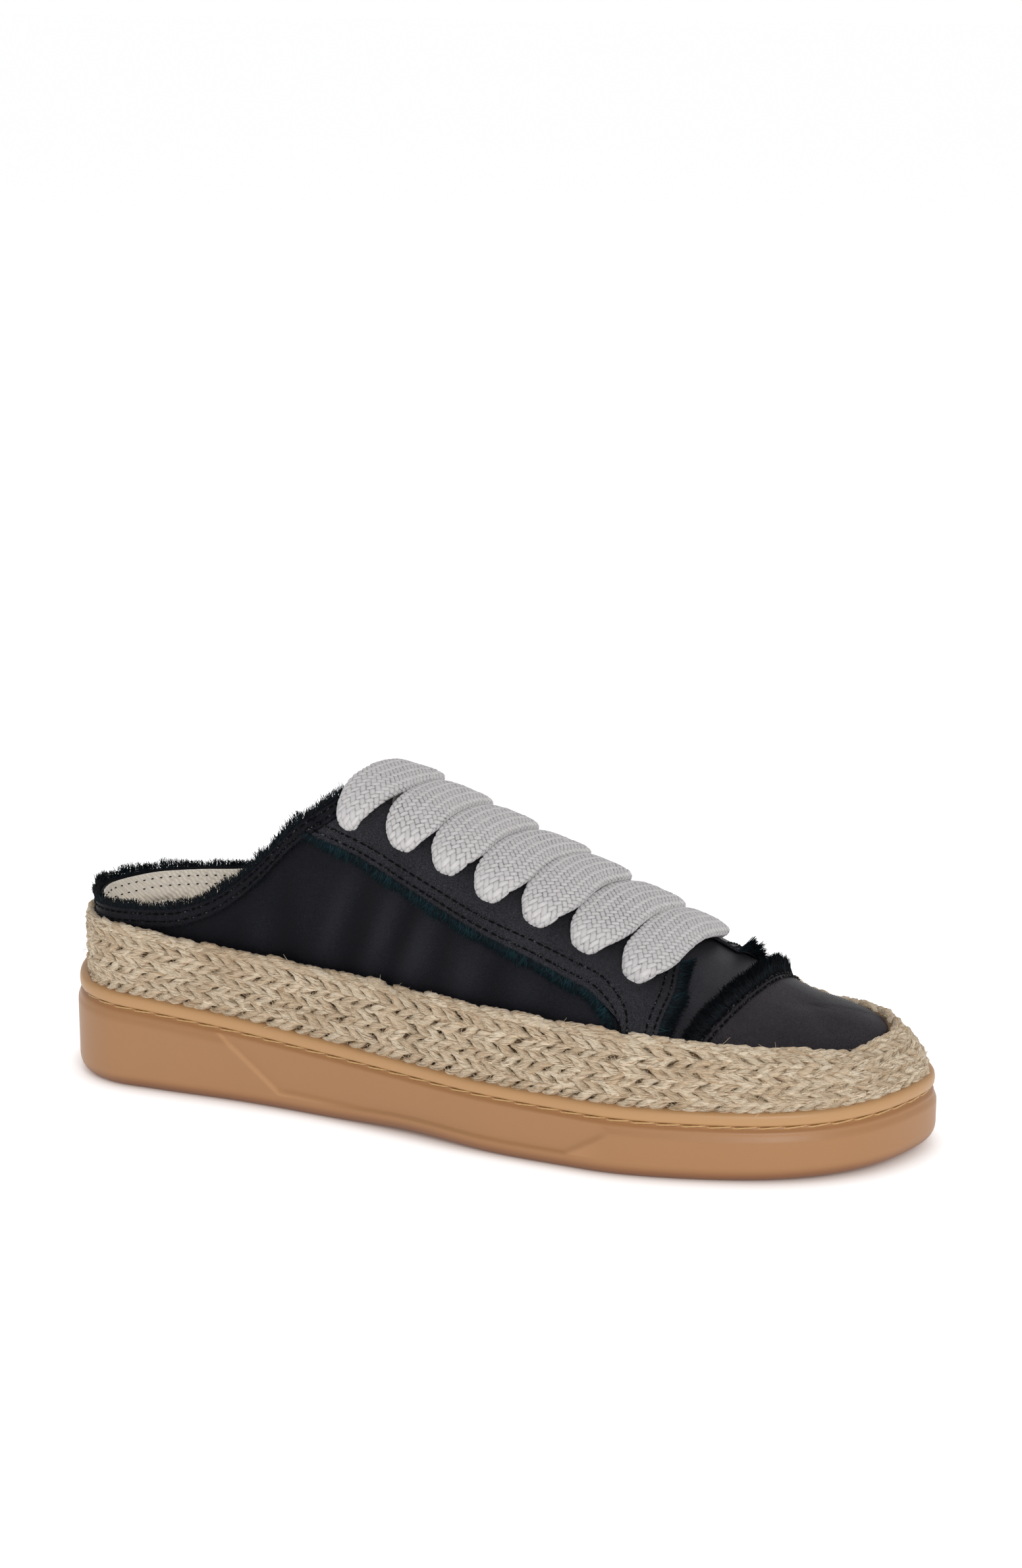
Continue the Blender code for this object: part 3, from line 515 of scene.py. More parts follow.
reach = np.linalg.norm(bottom[:, -1] - bottom[:, 0], axis=-1)[:, None] * np.minimum(across, 1 - across)
wave = (bottom[..., 0] + GRIP_WAVE * np.sin(bottom[..., 1] / GRIP_WAVE_RUN)) / GRIP_PITCH
cut = 1 - ease((np.abs(wave - np.round(wave)) - GRIP_WIDTH / 2) / GRIP_SOFT)
bottom[..., 2] += GRIP_DEPTH * cut * ease((reach - GRIP_MARGIN + SOLE_EDGE_RADIUS + UNDERSIDE_RIM) / 2.0)
points, faces = closed_rings(wall, bottom, spanned(wall[-1], 2))

gum = Finish("gum_rubber", {"Roughness": 0.42, "Specular IOR Level": 0.4, "Subsurface Weight": 0.08,
                            "Subsurface Radius": (0.004, 0.002, 0.001)})
cloud = gum.noise(28.0, 4.0)
grain = gum.noise(1400.0, 2.0)
tone = gum.blend(gum.field("bead"), GUM, GUM_BEAD)
# Painted highlight: the panel's slanted edge and the foot strip below it are lightened.
tone = gum.blend(gum.field("light") * 0.8, tone, GUM_PAINTED_HIGHLIGHT)
# Painted shade: the rounded foot edge is darkened to red-brown, as if in shadow.
tone = gum.blend(gum.field("under") * 0.85, tone, GUM_PAINTED_SHADE)
gum.feed("Base Color", gum.blend(cloud * 0.35, tone, GUM_CLOUD))
gum.feed("Roughness", cloud * 0.16 + 0.34)
gum.bump(grain * 0.25 + gum.noise(260.0, 3.0) * 0.8, 0.00006)
# Ring by ring: 1 on the bead, where the wall carries painted highlight, and 1 under the edge, where painted
# shade darkens it.
plain, groove_ring = np.zeros(SOLE_POINTS), wall_rings + WALL_ROWS
gum_fields = {
    "bead": [plain + (k > groove_ring + 3) for k in range(len(rings))],
    "light": [painted_highlight(key, rings[k][1]) if wall_rings <= k < groove_ring else plain
              for k in range(len(rings))],
    "under": [plain + (1 - ease((k - 5) / 4.0)) for k in range(len(rings))]}
past_rings = [np.zeros(len(points) - wall.size // 3)]
gum_fields = {name: np.concatenate(rows + past_rings) for name, rows in gum_fields.items()}


def weld(made, reach=0.01):
    """Joins points that lie on each other, where there is a reach, and turns all faces outwards."""
    bm = bmesh.new()
    bm.from_mesh(made.data)
    if reach:
        bmesh.ops.remove_doubles(bm, verts=bm.verts, dist=reach * MM)
    bmesh.ops.recalc_face_normals(bm, faces=bm.faces)
    bm.to_mesh(made.data)
    bm.free()


outsole = piece("outsole_rubber", points, faces, gum, replaces=("outsole",), fields=gum_fields)
weld(outsole)

# ----------------------------------------------------------- groove thread
# Waxed golden thread lies in the groove, one long lock stitch after another,
# each dipping back into the rubber at its ends.
STITCH_PITCH, STITCH_LENGTH, STITCH_RADIUS, STITCH_SLANT = 7.4, 7.2, 0.30, 0.55
THREAD_PLY = {"lobes": 2, "twist": 3.2, "ply": 0.18}
THREAD_GOLD, THREAD_LIGHT = (0.39, 0.215, 0.080), (0.56, 0.36, 0.15)


def tubes(paths, out, width, depth, sides=8, lobes=0, twist=0.0, ply=0.12):
    """Closed tubes along paths (n, m, 3); out is the outward direction at each point.

    width and depth are radii across and outwards, (n, m) or broadcast to it.
    lobes and twist give a plied thread; the ends are closed with a flat face.
    """
    count, steps = paths.shape[:2]
    along = unit(np.gradient(paths, axis=1))
    across = unit(np.cross(along, np.broadcast_to(out, paths.shape)))
    up = np.cross(across, along)
    turn = np.arange(sides) / sides * 2 * math.pi
    lengths = np.linalg.norm(np.diff(paths, axis=1), axis=2)
    run = np.concatenate((np.zeros((count, 1)), np.cumsum(lengths, axis=1)), axis=1)
    plies = 1 + ply * np.cos(lobes * turn + twist * run[..., None]) if lobes else 1.0
    shape = (count, steps)
    side_part = np.broadcast_to(width, shape)[..., None] * np.cos(turn) * plies
    up_part = np.broadcast_to(depth, shape)[..., None] * np.sin(turn) * plies
    points = (paths[:, :, None] + across[:, :, None] * side_part[..., None]
              + up[:, :, None] * up_part[..., None])
    faces = grid_faces(steps, sides, close_columns=True)[:, ::-1]
    start = np.arange(count)[:, None, None] * steps * sides
    ends = np.stack((np.arange(sides)[::-1], np.arange(sides) + (steps - 1) * sides))[:, ::-1]
    return points, [(faces + start).reshape(-1, 4), (ends + start).reshape(-1, sides)], {
        "run": np.broadcast_to(run[..., None], (*shape, sides)),
        "turn": np.broadcast_to(turn / (2 * math.pi), (*shape, sides))}


def held(values, like):
    """One value for each copy, spread over the copy's points."""
    return np.broadcast_to(values.reshape(-1, *([1] * (like.ndim - 2))), like.shape[:-1])


stitches = int(LOOP_LENGTH / STITCH_PITCH)
steps = np.linspace(-0.5, 0.5, 9)
run = (np.arange(stitches)[:, None] + 0.5) / stitches * LOOP_LENGTH + steps * STITCH_LENGTH
side, key = round_the_sole(run)
dip = 0.7 * np.abs(2 * steps) ** 6
x, y = outline(side, key, GROOVE_DEPTH + 0.15 + dip)
x_out, y_out = outline(side, key, 0.0)
paths = np.stack((x, y, level(GROOVE, key) - 0.05 + STITCH_SLANT * steps), axis=-1)
out = unit(np.stack((x_out - x, y_out - y, np.zeros_like(x)), axis=-1))
points, faces, _ = tubes(paths, out, STITCH_RADIUS, STITCH_RADIUS, **THREAD_PLY)
gold = Finish("waxed_thread", {"Roughness": 0.38, "Sheen Weight": 0.1})
gold.feed("Base Color", gold.blend(gold.noise(900.0), THREAD_GOLD, THREAD_LIGHT))
piece("groove_thread", points, faces, gold)

# -------------------------------------------------------------- jute braid
# The platform is wrapped in plaited jute.  Each plait shows as two half rows
# whose strands lean against each other; a two-ply cord finishes the top edge
# and loose fibres stand off the whole wall.
JUTE_FOOT_INSET, HEEL_TUCK, HEEL_TUCK_END = 4.0, 1.5, 0.07
JUTE_BELLY, JUTE_WALL, TRAY_DEPTH = 1.7, 2.5, 9.0
JUTE_DIPS = ((0.962, 0.026, 1.4), (0.85, 0.055, 4.2))        # outer, inner: station, reach, depth
JUTE, JUTE_PALE, JUTE_DEEP = (0.75, 0.54, 0.345), (1.0, 0.86, 0.655), (0.24, 0.145, 0.072)
JUTE_WARM, JUTE_CLOUD = (0.55, 0.36, 0.19), (0.70, 0.55, 0.385)
# The core's colours are painted shade: jute darkened to stand for the shade in the gaps between strands.
CORE_SHADE_DEEP, CORE_SHADE_LIGHT = (0.11, 0.068, 0.038), (0.23, 0.155, 0.093)
CORE_POINTS, CORE_SINK, TRAY_LEDGE = 420, 1.1, 8.0

HALF_ROWS, STRAND_STEPS = 6, 12
STRAND_PITCH, STRAND_LENGTH, STRAND_LEAN = 4.8, 11.5, math.radians(27)
STRAND_HALF_WIDTH, STRAND_HALF_DEPTH, STRAND_RISE = 1.10, 1.28, 1.8
STRAND_PLY = {"sides": 10, "lobes": 2, "ply": 0.24}
STRAND_TWIST, ROW_HEIGHT = 1.15, 3.2                 # turns of the ply, height of a common half row
CORD_SHARE = 0.12                 # part of the wall's height that the top cord takes
CORD_PITCH, CORD_LENGTH, CORD_LEAN, CORD_SIZE = 5.0, 14.0, math.radians(11), 0.98

LOOSE_FIBRES, LOOSE_RADIUS, LOOSE_SHORT, LOOSE_LONG = 6800, 0.06, 2.0, 7.0
JUTE_HEIGHT = 20.0                # common height of the jute, for a loose fibre's climb
LOOSE_TONES = ((0.0, (0.42, 0.29, 0.16)), (0.5, (0.66, 0.52, 0.34)), (1.0, (0.86, 0.76, 0.58)))

chance = np.random.default_rng(7)


def jute_top(side, key):
    """Height of the jute's top edge, with a shallow dip on each side of the toe."""
    s = station(key)
    dips = [depth * np.exp(-((s - at) / reach) ** 2) for at, reach, depth in JUTE_DIPS]
    return level(JUTE_TOP, key) - np.where(side == LATERAL, *dips) * ease((1 - s) / 0.02)


def jute_wall(side, key, share, proud=0.0):
    """Point on the jute's face: share runs from the rubber (0) to the satin (1)."""
    foot, top = level(RUBBER_TOP, key), jute_top(side, key)
    inset = JUTE_FOOT_INSET + HEEL_TUCK * (1 - ease(station(key) / HEEL_TUCK_END))
    lean = mix(inset, np.maximum(level(JUTE_LEAN, key), inset), np.clip(share, 0, 1) ** JUTE_BELLY)
    x, y = outline(side, key, lean - proud)
    return np.stack((x, y, mix(foot, top, share)), axis=-1)


def jute_out(side, key, share):
    """Outward direction of the jute's face."""
    up = unit(jute_wall(side, key, share + 0.04) - jute_wall(side, key, share - 0.04))
    inner, outer = jute_wall(side, key, share), jute_wall(side, key, share, 1.0)
    out = outer - inner
    return unit(out - up * (out * up).sum(-1, keepdims=True))


jute = Finish("jute_fibre", {"Roughness": 0.7, "Specular IOR Level": 0.35, "Sheen Weight": 0.04,
                             "Sheen Roughness": 0.5})
lay = jute.node("CombineXYZ", {}, {0: jute.field("run") * 0.12, 1: jute.field("turn") * 9.0,
                                   2: jute.field("tint") * 40.0})
fibre = jute.noise(1.9, 4.0, lay)
hair = jute.noise(5.0, 3.0, lay)
patch_tone = jute.noise(55.0, 3.0)
pale = jute.ramp(fibre * 0.5 + hair * 0.5, (0.395, JUTE_DEEP), (0.445, JUTE), (0.515, JUTE_PALE))
warm = jute.blend(jute.field("tint") * 0.55, pale, JUTE_WARM)
jute.feed("Base Color", jute.blend(patch_tone * 0.22, warm, JUTE_CLOUD))
jute.bump(fibre + hair * 1.1, 0.0008)

core = Finish("jute_core", {"Roughness": 0.95, "Specular IOR Level": 0.1})
core.feed("Base Color", core.blend(core.noise(220.0, 4.0), CORE_SHADE_DEEP, CORE_SHADE_LIGHT))

# The core behind the plaits, with the tray for the insole in its top; its dark colour is painted shade for
# the gaps between the strands.
side, key = round_the_sole(np.arange(CORE_POINTS) / CORE_POINTS * LOOP_LENGTH)
foot, top, rim = level(RUBBER_TOP, key), jute_top(side, key), level(JUTE_LEAN, key) + JUTE_WALL


def ring_at(inset, height):
    x, y = outline(side, key, inset)
    return np.stack((x, y, height), axis=-1)


rings = [ring_at(np.full_like(key, JUTE_FOOT_INSET + 7.0), foot + 0.1)]
rings += [jute_wall(side, key, share, -CORE_SINK) + np.array((0, 0, 0.1))
          for share in np.linspace(0.0, 0.97, 12)]
rings += [ring_at(rim - 0.4, top - 0.8), ring_at(rim - 0.4, top - TRAY_DEPTH),
          ring_at(rim + TRAY_LEDGE, top - TRAY_DEPTH)]
rings = np.stack(rings)
points, faces = closed_rings(rings, spanned(rings[0], 2), spanned(rings[-1], 2))
midsole_core = piece("midsole_core", points, faces, core, replaces=("midsole_jute",))
weld(midsole_core)

SHARE_PER_ROW = (1.0 - CORD_SHARE) / HALF_ROWS
steps = np.linspace(-0.5, 0.5, STRAND_STEPS)
arch = np.cos(math.pi * steps * 0.96) ** 0.75
taper = (1 - np.abs(2 * steps) ** 2.6) ** 0.5


def plait_strands(share, lean, pitch, length, offset, size=1.0):
    """Leaning strands of one half row, all round the sole."""
    count = int(LOOP_LENGTH / pitch)
    jitter = chance.normal(0.0, 1.0, (5, count, 1))
    middle = (np.arange(count)[:, None] + offset + 0.10 * jitter[0]) / count * LOOP_LENGTH
    side, key = round_the_sole(middle)
    height = (level(JUTE_TOP, key) - level(RUBBER_TOP, key)) * SHARE_PER_ROW
    reach = length * (1 + 0.07 * jitter[1])
    tilt = lean * (1 + 0.10 * jitter[2]) * np.clip(height / ROW_HEIGHT, 0.6, 1.1)
    run = middle + steps * reach * np.cos(tilt)
    climb = share + (steps * reach * np.sin(tilt) + 0.16 * jitter[3]) / height * SHARE_PER_ROW
    climb = climb + 0.010 * np.sin(steps * 9.0) * np.sign(lean)
    side, key = round_the_sole(run)
    out = jute_out(side, key, climb)
    stand = STRAND_RISE * size * (arch - 0.75) + 0.18 * jitter[4]
    paths = jute_wall(side, key, climb) + out * stand[..., None]
    swell = size * (0.9 + 0.1 * height / ROW_HEIGHT) * (1 + 0.08 * jitter[3])
    points, faces, fields = tubes(paths, out, STRAND_HALF_WIDTH * swell * taper + 0.15,
                                  STRAND_HALF_DEPTH * swell * taper + 0.15,
                                  twist=STRAND_TWIST * np.sign(lean), **STRAND_PLY)
    rough = chance.normal(0.0, 0.035, points.shape[:3])
    points = points + (points - paths[:, :, None]) * rough[..., None]
    fields["tint"] = held(chance.random(count), points)
    fields["run"] = fields["run"] + held(chance.random(count) * 30.0, points)
    fields["turn"] = fields["turn"] + 0.06 * np.sign(lean) * fields["run"]
    return points, faces, fields


def joined(parts):
    """One set of points, faces and fields from several."""
    points = np.concatenate([p.reshape(-1, 3) for p, _, _ in parts])
    faces, start = [], 0
    for p, blocks, _ in parts:
        faces += [block + start for block in blocks]
        start += p.size // 3
    fields = {name: np.concatenate([f[name].ravel() for _, _, f in parts]) for name in parts[0][2]}
    return points, faces, fields


for plait in range(HALF_ROWS // 2):
    lower, upper = ((2 * plait + 0.5 + k) * SHARE_PER_ROW for k in (0, 1))
    halves = [plait_strands(lower, STRAND_LEAN, STRAND_PITCH, STRAND_LENGTH, 0.0),
              plait_strands(upper, -STRAND_LEAN, STRAND_PITCH, STRAND_LENGTH, 0.5)]
    points, faces, fields = joined(halves)
    piece("jute_plait_" + str(plait + 1), points, faces, jute, fields=fields)

cord_share = 1.0 - CORD_SHARE * 0.45
points, faces, fields = plait_strands(cord_share, -CORD_LEAN, CORD_PITCH, CORD_LENGTH, 0.3, CORD_SIZE)
piece("jute_edge_cord", points, faces, jute, fields=fields)

# Loose fibres: those near the foot lie at any slant, those near the top along it.
run, share = chance.random(LOOSE_FIBRES) * LOOP_LENGTH, chance.random(LOOSE_FIBRES) ** 1.3 * 0.97
reach = chance.uniform(LOOSE_SHORT, LOOSE_LONG, LOOSE_FIBRES)
heading = chance.normal(0.0, 0.75, LOOSE_FIBRES) * (1.15 - 0.9 * share)
heading = heading + math.pi * chance.integers(0, 2, LOOSE_FIBRES)
lift = chance.gamma(1.6, 0.45, LOOSE_FIBRES)
bend = chance.normal(0.0, 0.9, LOOSE_FIBRES) * (1.1 - 0.8 * share)
steps = np.linspace(0.0, 1.0, 3)[None, :]
curl = heading[:, None] + bend[:, None] * steps
side, key = round_the_sole(run[:, None] + reach[:, None] * steps * np.cos(curl))
climb = share[:, None] + reach[:, None] * steps * np.sin(curl) / JUTE_HEIGHT
out = jute_out(side, key, np.clip(climb, 0.02, 1.02))
stand = 0.5 + lift[:, None] * np.sin(steps * 2.4) - 0.5 * (1 - steps)
paths = jute_wall(side, key, climb) + out * stand[..., None]
radius = LOOSE_RADIUS * (1.15 - 0.6 * steps)
points, faces, _ = tubes(paths, out, radius, radius, 3)
tint = held(chance.random(LOOSE_FIBRES), points)
loose = Finish("loose_fibre", {"Roughness": 0.7, "Specular IOR Level": 0.35})
loose.feed("Base Color", loose.ramp(loose.field("tint"), *LOOSE_TONES))
piece("jute_loose_fibres", points, faces, loose, fields={"tint": tint})

# ------------------------------------------------------------------ insole
# A footbed covered in plain-woven natural linen lies in the tray, dished a
# little under the foot.
INSOLE_POINTS, BED_COLUMNS, INSOLE_EDGE, INSOLE_BED_GAP = 300, 13, 4.2, 0.35
INSOLE_THICKNESS, INSOLE_DISH = 4.0, 0.9
# Section of the insole: inset from its edge, height above its underside.
INSOLE_PROFILE = (
    (1.0, 0.0),
    (0.2, 0.4),
    (0.0, 1.2),
    (0.0, 2.8),
    (0.35, 3.6),
    (1.3, INSOLE_THICKNESS),
    (4.0, INSOLE_THICKNESS - 0.1),
    (9.0, INSOLE_THICKNESS - INSOLE_DISH),
)
LINEN, LINEN_DARK = (0.92, 0.86, 0.775), (0.62, 0.56, 0.475)
LINEN_THREAD, LINEN_DEPTH = 0.00062, 0.00035         # in metres


def weave_of(finish, spacing, light, dark, depth):
    """Plain weave: threads over and under each other, at a spacing in metres."""
    x, y, z = finish.axes()
    turn = math.pi / spacing
    checks = finish.math("SINE", (x + z * 0.35) * turn) * finish.math("SINE", (y + z * 0.95) * turn)
    ridges = finish.math("ABSOLUTE", checks)
    slub = finish.noise(420.0, 3.0)
    finish.feed("Base Color", finish.blend((1 - ridges) * 0.55 + slub * 0.45, light, dark))
    finish.bump(checks * 0.5 + slub, depth)


linen = Finish("linen_weave", {"Roughness": 0.9, "Specular IOR Level": 0.2, "Sheen Weight": 0.2})
weave_of(linen, 2 * LINEN_THREAD, LINEN, LINEN_DARK, LINEN_DEPTH)

side, key = round_the_sole(np.arange(INSOLE_POINTS) / INSOLE_POINTS * LOOP_LENGTH)
tray, edge = level(JUTE_TOP, key) - TRAY_DEPTH + INSOLE_BED_GAP, level(JUTE_LEAN, key) + INSOLE_EDGE
rings = np.stack([ring_at(edge + inset, tray + rise) for inset, rise in INSOLE_PROFILE])
points, faces = closed_rings(rings, spanned(rings[0], 2), spanned(rings[-1], BED_COLUMNS))
insole = piece("insole_linen", points, faces, linen, replaces=("insole",))
weld(insole)

# ------------------------------------------------------------------- upper
# Black satin twill is lasted over the form and lined with the same linen.
# It is one wall, open at the collar and throat, with soft standing folds in
# the quarters where the satin is slack.
RIDGE = (                         # centre line of the last: x, y and z
    (-100.0, 0.8, 112.0),
    (-80.0, 0.0, 112.0),
    (-55.0, -1.0, 104.5),
    (-33.0, -1.5, 97.5),
    (0.0, -1.0, 83.8),
    (30.0, 0.0, 71.4),
    (60.0, 1.0, 58.4),
    (76.0, 2.5, 50.6),
    (90.0, 4.0, 43.1),
    (100.0, 5.0, 39.8),
)
SECTIONS = (                      # station, x where it meets the ridge, squareness
    (0.00, -98.0, 3.0),
    (0.08, -95.0, 3.0),
    (0.15, -87.0, 3.0),
    (0.25, -67.0, 3.1),
    (0.38, -33.0, 3.3),
    (0.50, 0.0, 2.9),
    (0.60, 27.0, 2.3),
    (0.72, 60.0, 1.75),
    (0.80, 80.0, 1.65),
    (0.88, 91.5, 1.55),
    (0.94, 97.0, 1.45),
    (1.00, 100.0, 1.4),
)
TOPLINE = (                       # top edge of the quarters and heel rim: x, height
    (-135.0, 55.4),
    (-110.0, 56.6),
    (-93.0, 58.0),
    (-82.0, 61.8),
    (-73.0, 67.2),
    (-64.0, 74.8),
    (-52.0, 87.0),
    (-42.0, 94.0),
    (-30.0, 102.0),
)
THROAT_HALF_REAR, THROAT_HALF_FRONT = 13.0, 15.0
THROAT_REAR_X, THROAT_FRONT_X, THROAT_ROUND = -34.0, 64.6, 11.0
QUARTER_SWEEP = 20.0              # length of the topline's run into the throat
SATIN_WALL, LINING_WALL, LINING_GAP, UPPER_WALL = 0.7, 0.6, 0.1, 1.5
UPPER_SKIRT = 5.0                 # how far the wall runs down behind the jute

# Standing folds: x at the jute, lean of x with height, half width, height of
# the middle above the jute, half height, and relief (a trough is negative).
FOLDS = (
    (-64.0, 0.1, 4.5, 6.0, 9.0, 0.45),
    (-53.0, 0.0, 4.0, 12.0, 14.0, -0.45),
    (-42.0, 0.35, 3.6, 16.0, 16.0, 0.75),
    (-33.0, 0.3, 3.2, 14.0, 14.0, -0.75),
    (-25.5, 0.35, 3.0, 17.0, 13.0, 0.8),
    (-18.5, 0.35, 2.6, 17.0, 12.0, -0.8),
    (-11.5, 0.35, 3.0, 13.0, 12.0, 0.75),
    (-2.5, 0.3, 3.4, 11.0, 11.0, -0.55),
    (7.0, 0.3, 3.6, 9.0, 10.0, 0.5),
    (17.0, 0.2, 3.6, 8.0, 8.0, -0.4),
    (28.0, 0.1, 4.0, 6.0, 7.0, 0.3),
)


def last_section(side, key):
    """Foot and ridge of the last's section at a key, and its squareness."""
    s = station(key)
    x, y = outline(side, key, level(JUTE_LEAN, key) + JUTE_WALL)
    foot = np.stack((x, y, jute_top(side, key) - 1.5), axis=-1)
    ridge_x = smooth(SECTIONS, 1, s)
    ridge = np.stack((ridge_x, smooth(RIDGE, 1, ridge_x), smooth(RIDGE, 2, ridge_x)), axis=-1)
    return foot, ridge, smooth(SECTIONS, 2, s)


def on_last(side, key, turn):
    """Point of the last; turn is 0 at the jute and 1 at the ridge."""
    foot, ridge, square = last_section(side, key)
    angle = turn * math.pi / 2
    across = (np.maximum(np.cos(angle), 0.0) ** (2 / square))[..., None]
    up = np.maximum(np.sin(angle), 0.0) ** (2 / square)
    flat = mix(ridge[..., :2], foot[..., :2], across)
    return np.concatenate((flat, mix(foot[..., 2], ridge[..., 2], up)[..., None]), axis=-1)


def last_normal(side, key, turn):
    """Outward normal of the last's surface."""
    side, key, turn = np.broadcast_arrays(side, key, turn)
    low, high = np.maximum(key - 0.03, 0.0), np.minimum(key + 0.03, END_KEY)
    ridge = on_last(side, high, np.ones_like(turn)) - on_last(side, low, np.ones_like(turn))
    over = unit(np.stack((-ridge[..., 2], np.zeros_like(turn), ridge[..., 0]), axis=-1))
    level_turn = np.maximum(turn, 0.02)
    along = on_last(side, high, level_turn) - on_last(side, low, level_turn)
    tip = np.where(key > END_KEY - 0.03, -1.0, 1.0) * side
    across = np.stack((np.zeros_like(turn), tip, np.zeros_like(turn)), axis=-1)
    along = np.where(((key < 0.03) | (key > END_KEY - 0.03))[..., None], across, along)
    above, under = np.minimum(turn + 0.01, 0.995), np.maximum(turn - 0.01, 0.005)
    up = on_last(side, key, above) - on_last(side, key, under)
    wall = unit(np.cross(along, up)) * np.where(side == LATERAL, 1.0, -1.0)[..., None]
    share = ease((turn - 0.96) / 0.03)[..., None]
    return unit(mix(wall, over, share))


def lifted(side, key, turn, lift):
    """Point at a lift from the last's surface."""
    side, key, turn, lift = np.broadcast_arrays(side, key, turn, lift)
    return on_last(side, key, turn) + last_normal(side, key, turn) * lift[..., None]


def turn_at_height(side, key, height):
    foot, ridge, square = last_section(side, key)
    share = np.clip((height - foot[..., 2]) / (ridge[..., 2] - foot[..., 2]), 0.0, 1.0)
    return np.arcsin(share ** (square / 2)) / (math.pi / 2)


def turn_at_width(side, key, width):
    foot, ridge, square = last_section(side, key)
    share = np.minimum(width / np.abs(foot[..., 1] - ridge[..., 1]), 1.0)
    return np.arccos(share ** (square / 2)) / (math.pi / 2)


FINE_RIDGE_X = smooth(SECTIONS, 1, FINE_STATION)


def key_at_ridge(x):
    return np.interp(x, FINE_RIDGE_X, FINE_KEYS)


def edge_turn(side, key):
    """Upper edge of the quarter: the topline, then the throat with its round front."""
    foot, ridge, _ = last_section(side, key)
    share = np.clip((ridge[..., 0] - THROAT_REAR_X) / (THROAT_FRONT_X - THROAT_REAR_X), 0.0, 1.0)
    past = np.clip((ridge[..., 0] - THROAT_FRONT_X + THROAT_ROUND) / THROAT_ROUND, 0.0, 1.0)
    half = mix(THROAT_HALF_REAR, THROAT_HALF_FRONT, share) * np.sqrt(1 - past ** 2)
    throat = turn_at_width(side, key, half)
    line = turn_at_height(side, key, smooth(TOPLINE, 1, foot[..., 0]))
    line = np.where(ridge[..., 0] < THROAT_REAR_X - QUARTER_SWEEP, line, np.minimum(line, throat))
    return np.where(foot[..., 0] > TOPLINE[-1][0], throat, line)


def fold_relief(side, points, foot_height):
    """Height of the soft folds at points of the quarter."""
    rise = points[..., 2] - foot_height
    relief = 0.0
    for x, lean, half, middle, reach, height in FOLDS:
        across = (points[..., 0] - x - lean * rise - 1.5 * side) / half
        relief = relief + height * np.exp(-across ** 2 - ((rise - middle) / reach) ** 2)
    return relief


FRONT_KEY = float(key_at_ridge(THROAT_FRONT_X))


def crested(grid, middle, reach=8, passes=30):
    """Rounds off the crest where the two halves meet, for a few columns either side."""
    soft = grid.copy()
    low, high = middle - reach, middle + reach + 1
    for _ in range(passes):
        either_side = soft[:, low - 1:high - 1] + soft[:, low + 1:high + 1]
        soft[:, low:high] = (2 * soft[:, low:high] + either_side) / 4
    return soft


def over_ridge(halves):
    """One grid from two halves that meet at the ridge, outer side first."""
    return np.concatenate((halves[0], halves[1][:, -2::-1]), axis=1)


def with_skirt(points):
    """Adds a first column below the foot of a grid."""
    return np.concatenate((points[:, :1] - np.array((0.0, 0.0, UPPER_SKIRT)), points), axis=1)


def lasted(lift, drop, steps, rows):
    """Surface of the upper at a lift from the last; drop lowers its top edge."""
    waist, front = key_at(0.35), FRONT_KEY - 0.35
    wall_keys = np.concatenate((np.linspace(0, waist, rows)[:-1],
                                np.linspace(waist, front, int(rows * 1.6))[:-1],
                                np.linspace(front, FRONT_KEY, 14)))
    crown_keys = np.linspace(FRONT_KEY, END_KEY, int(rows * 0.9))
    blocks, folds, faces, start = [], [], [], 0
    low = np.linspace(0.0, 1.0, steps + 1)
    for side in (LATERAL, MEDIAL):
        key = wall_keys[:, None]
        edge = edge_turn(side, key)
        if drop:
            height = on_last(side, key, edge)[..., 2] - drop
            edge = np.where(key < key_at_ridge(-30.0), turn_at_height(side, key, height), edge)
        turn = edge * low[None, :]
        key = np.broadcast_to(key, turn.shape)
        relief = fold_relief(side, on_last(side, key, turn), level(JUTE_TOP, key))
        points = with_skirt(lifted(side, key, turn, lift + relief))
        folds.append(np.concatenate((relief[:, :1], relief), axis=1).ravel())
        quads = grid_faces(*points.shape[:2], start=start)
        faces.append(quads[:, ::-1] if side == MEDIAL else quads)
        blocks.append(points.reshape(-1, 3))
        start += blocks[-1].shape[0]
    crown = over_ridge([with_skirt(lifted(side, crown_keys[:, None], low[None, :], lift))
                        for side in (LATERAL, MEDIAL)])
    settle = ease(np.arange(len(crown_keys)) / 7.0)[:, None, None]
    crown = mix(crown, crested(crown, steps + 1), settle)
    faces.append(grid_faces(*crown.shape[:2], start=start))
    blocks.append(crown.reshape(-1, 3))
    folds.append(np.zeros(crown.size // 3))
    return np.concatenate(blocks), faces, np.concatenate(folds)


def walled(made, thickness, outward=-1.0):
    """Gives a surface a real wall, grown inwards (-1) or outwards (1)."""
    solid = made.modifiers.new("wall", "SOLIDIFY")
    solid.thickness = thickness * MM
    solid.offset = outward
    solid.use_quality_normals = True


# Each satin: its colour in the shade and in the light, and its gloss.
# The trim (facings and tongue), vamp and toe cap satins are brighter copies of the quarter's black satin,
# painted sheen for the light they catch.
QUARTER_SATIN = (0.0030, 0.0031, 0.0044), (0.0125, 0.0128, 0.0165), 0.09
TRIM_SATIN_PAINTED_SHEEN = (0.0095, 0.0095, 0.0115), (0.050, 0.050, 0.057), 0.08
VAMP_SATIN_PAINTED_SHEEN = (0.0072, 0.0070, 0.0090), (0.034, 0.033, 0.039)
VAMP_X, TWILL = 0.061, 0.00046    # where the quarter's satin ends, and the twill's pitch, in metres


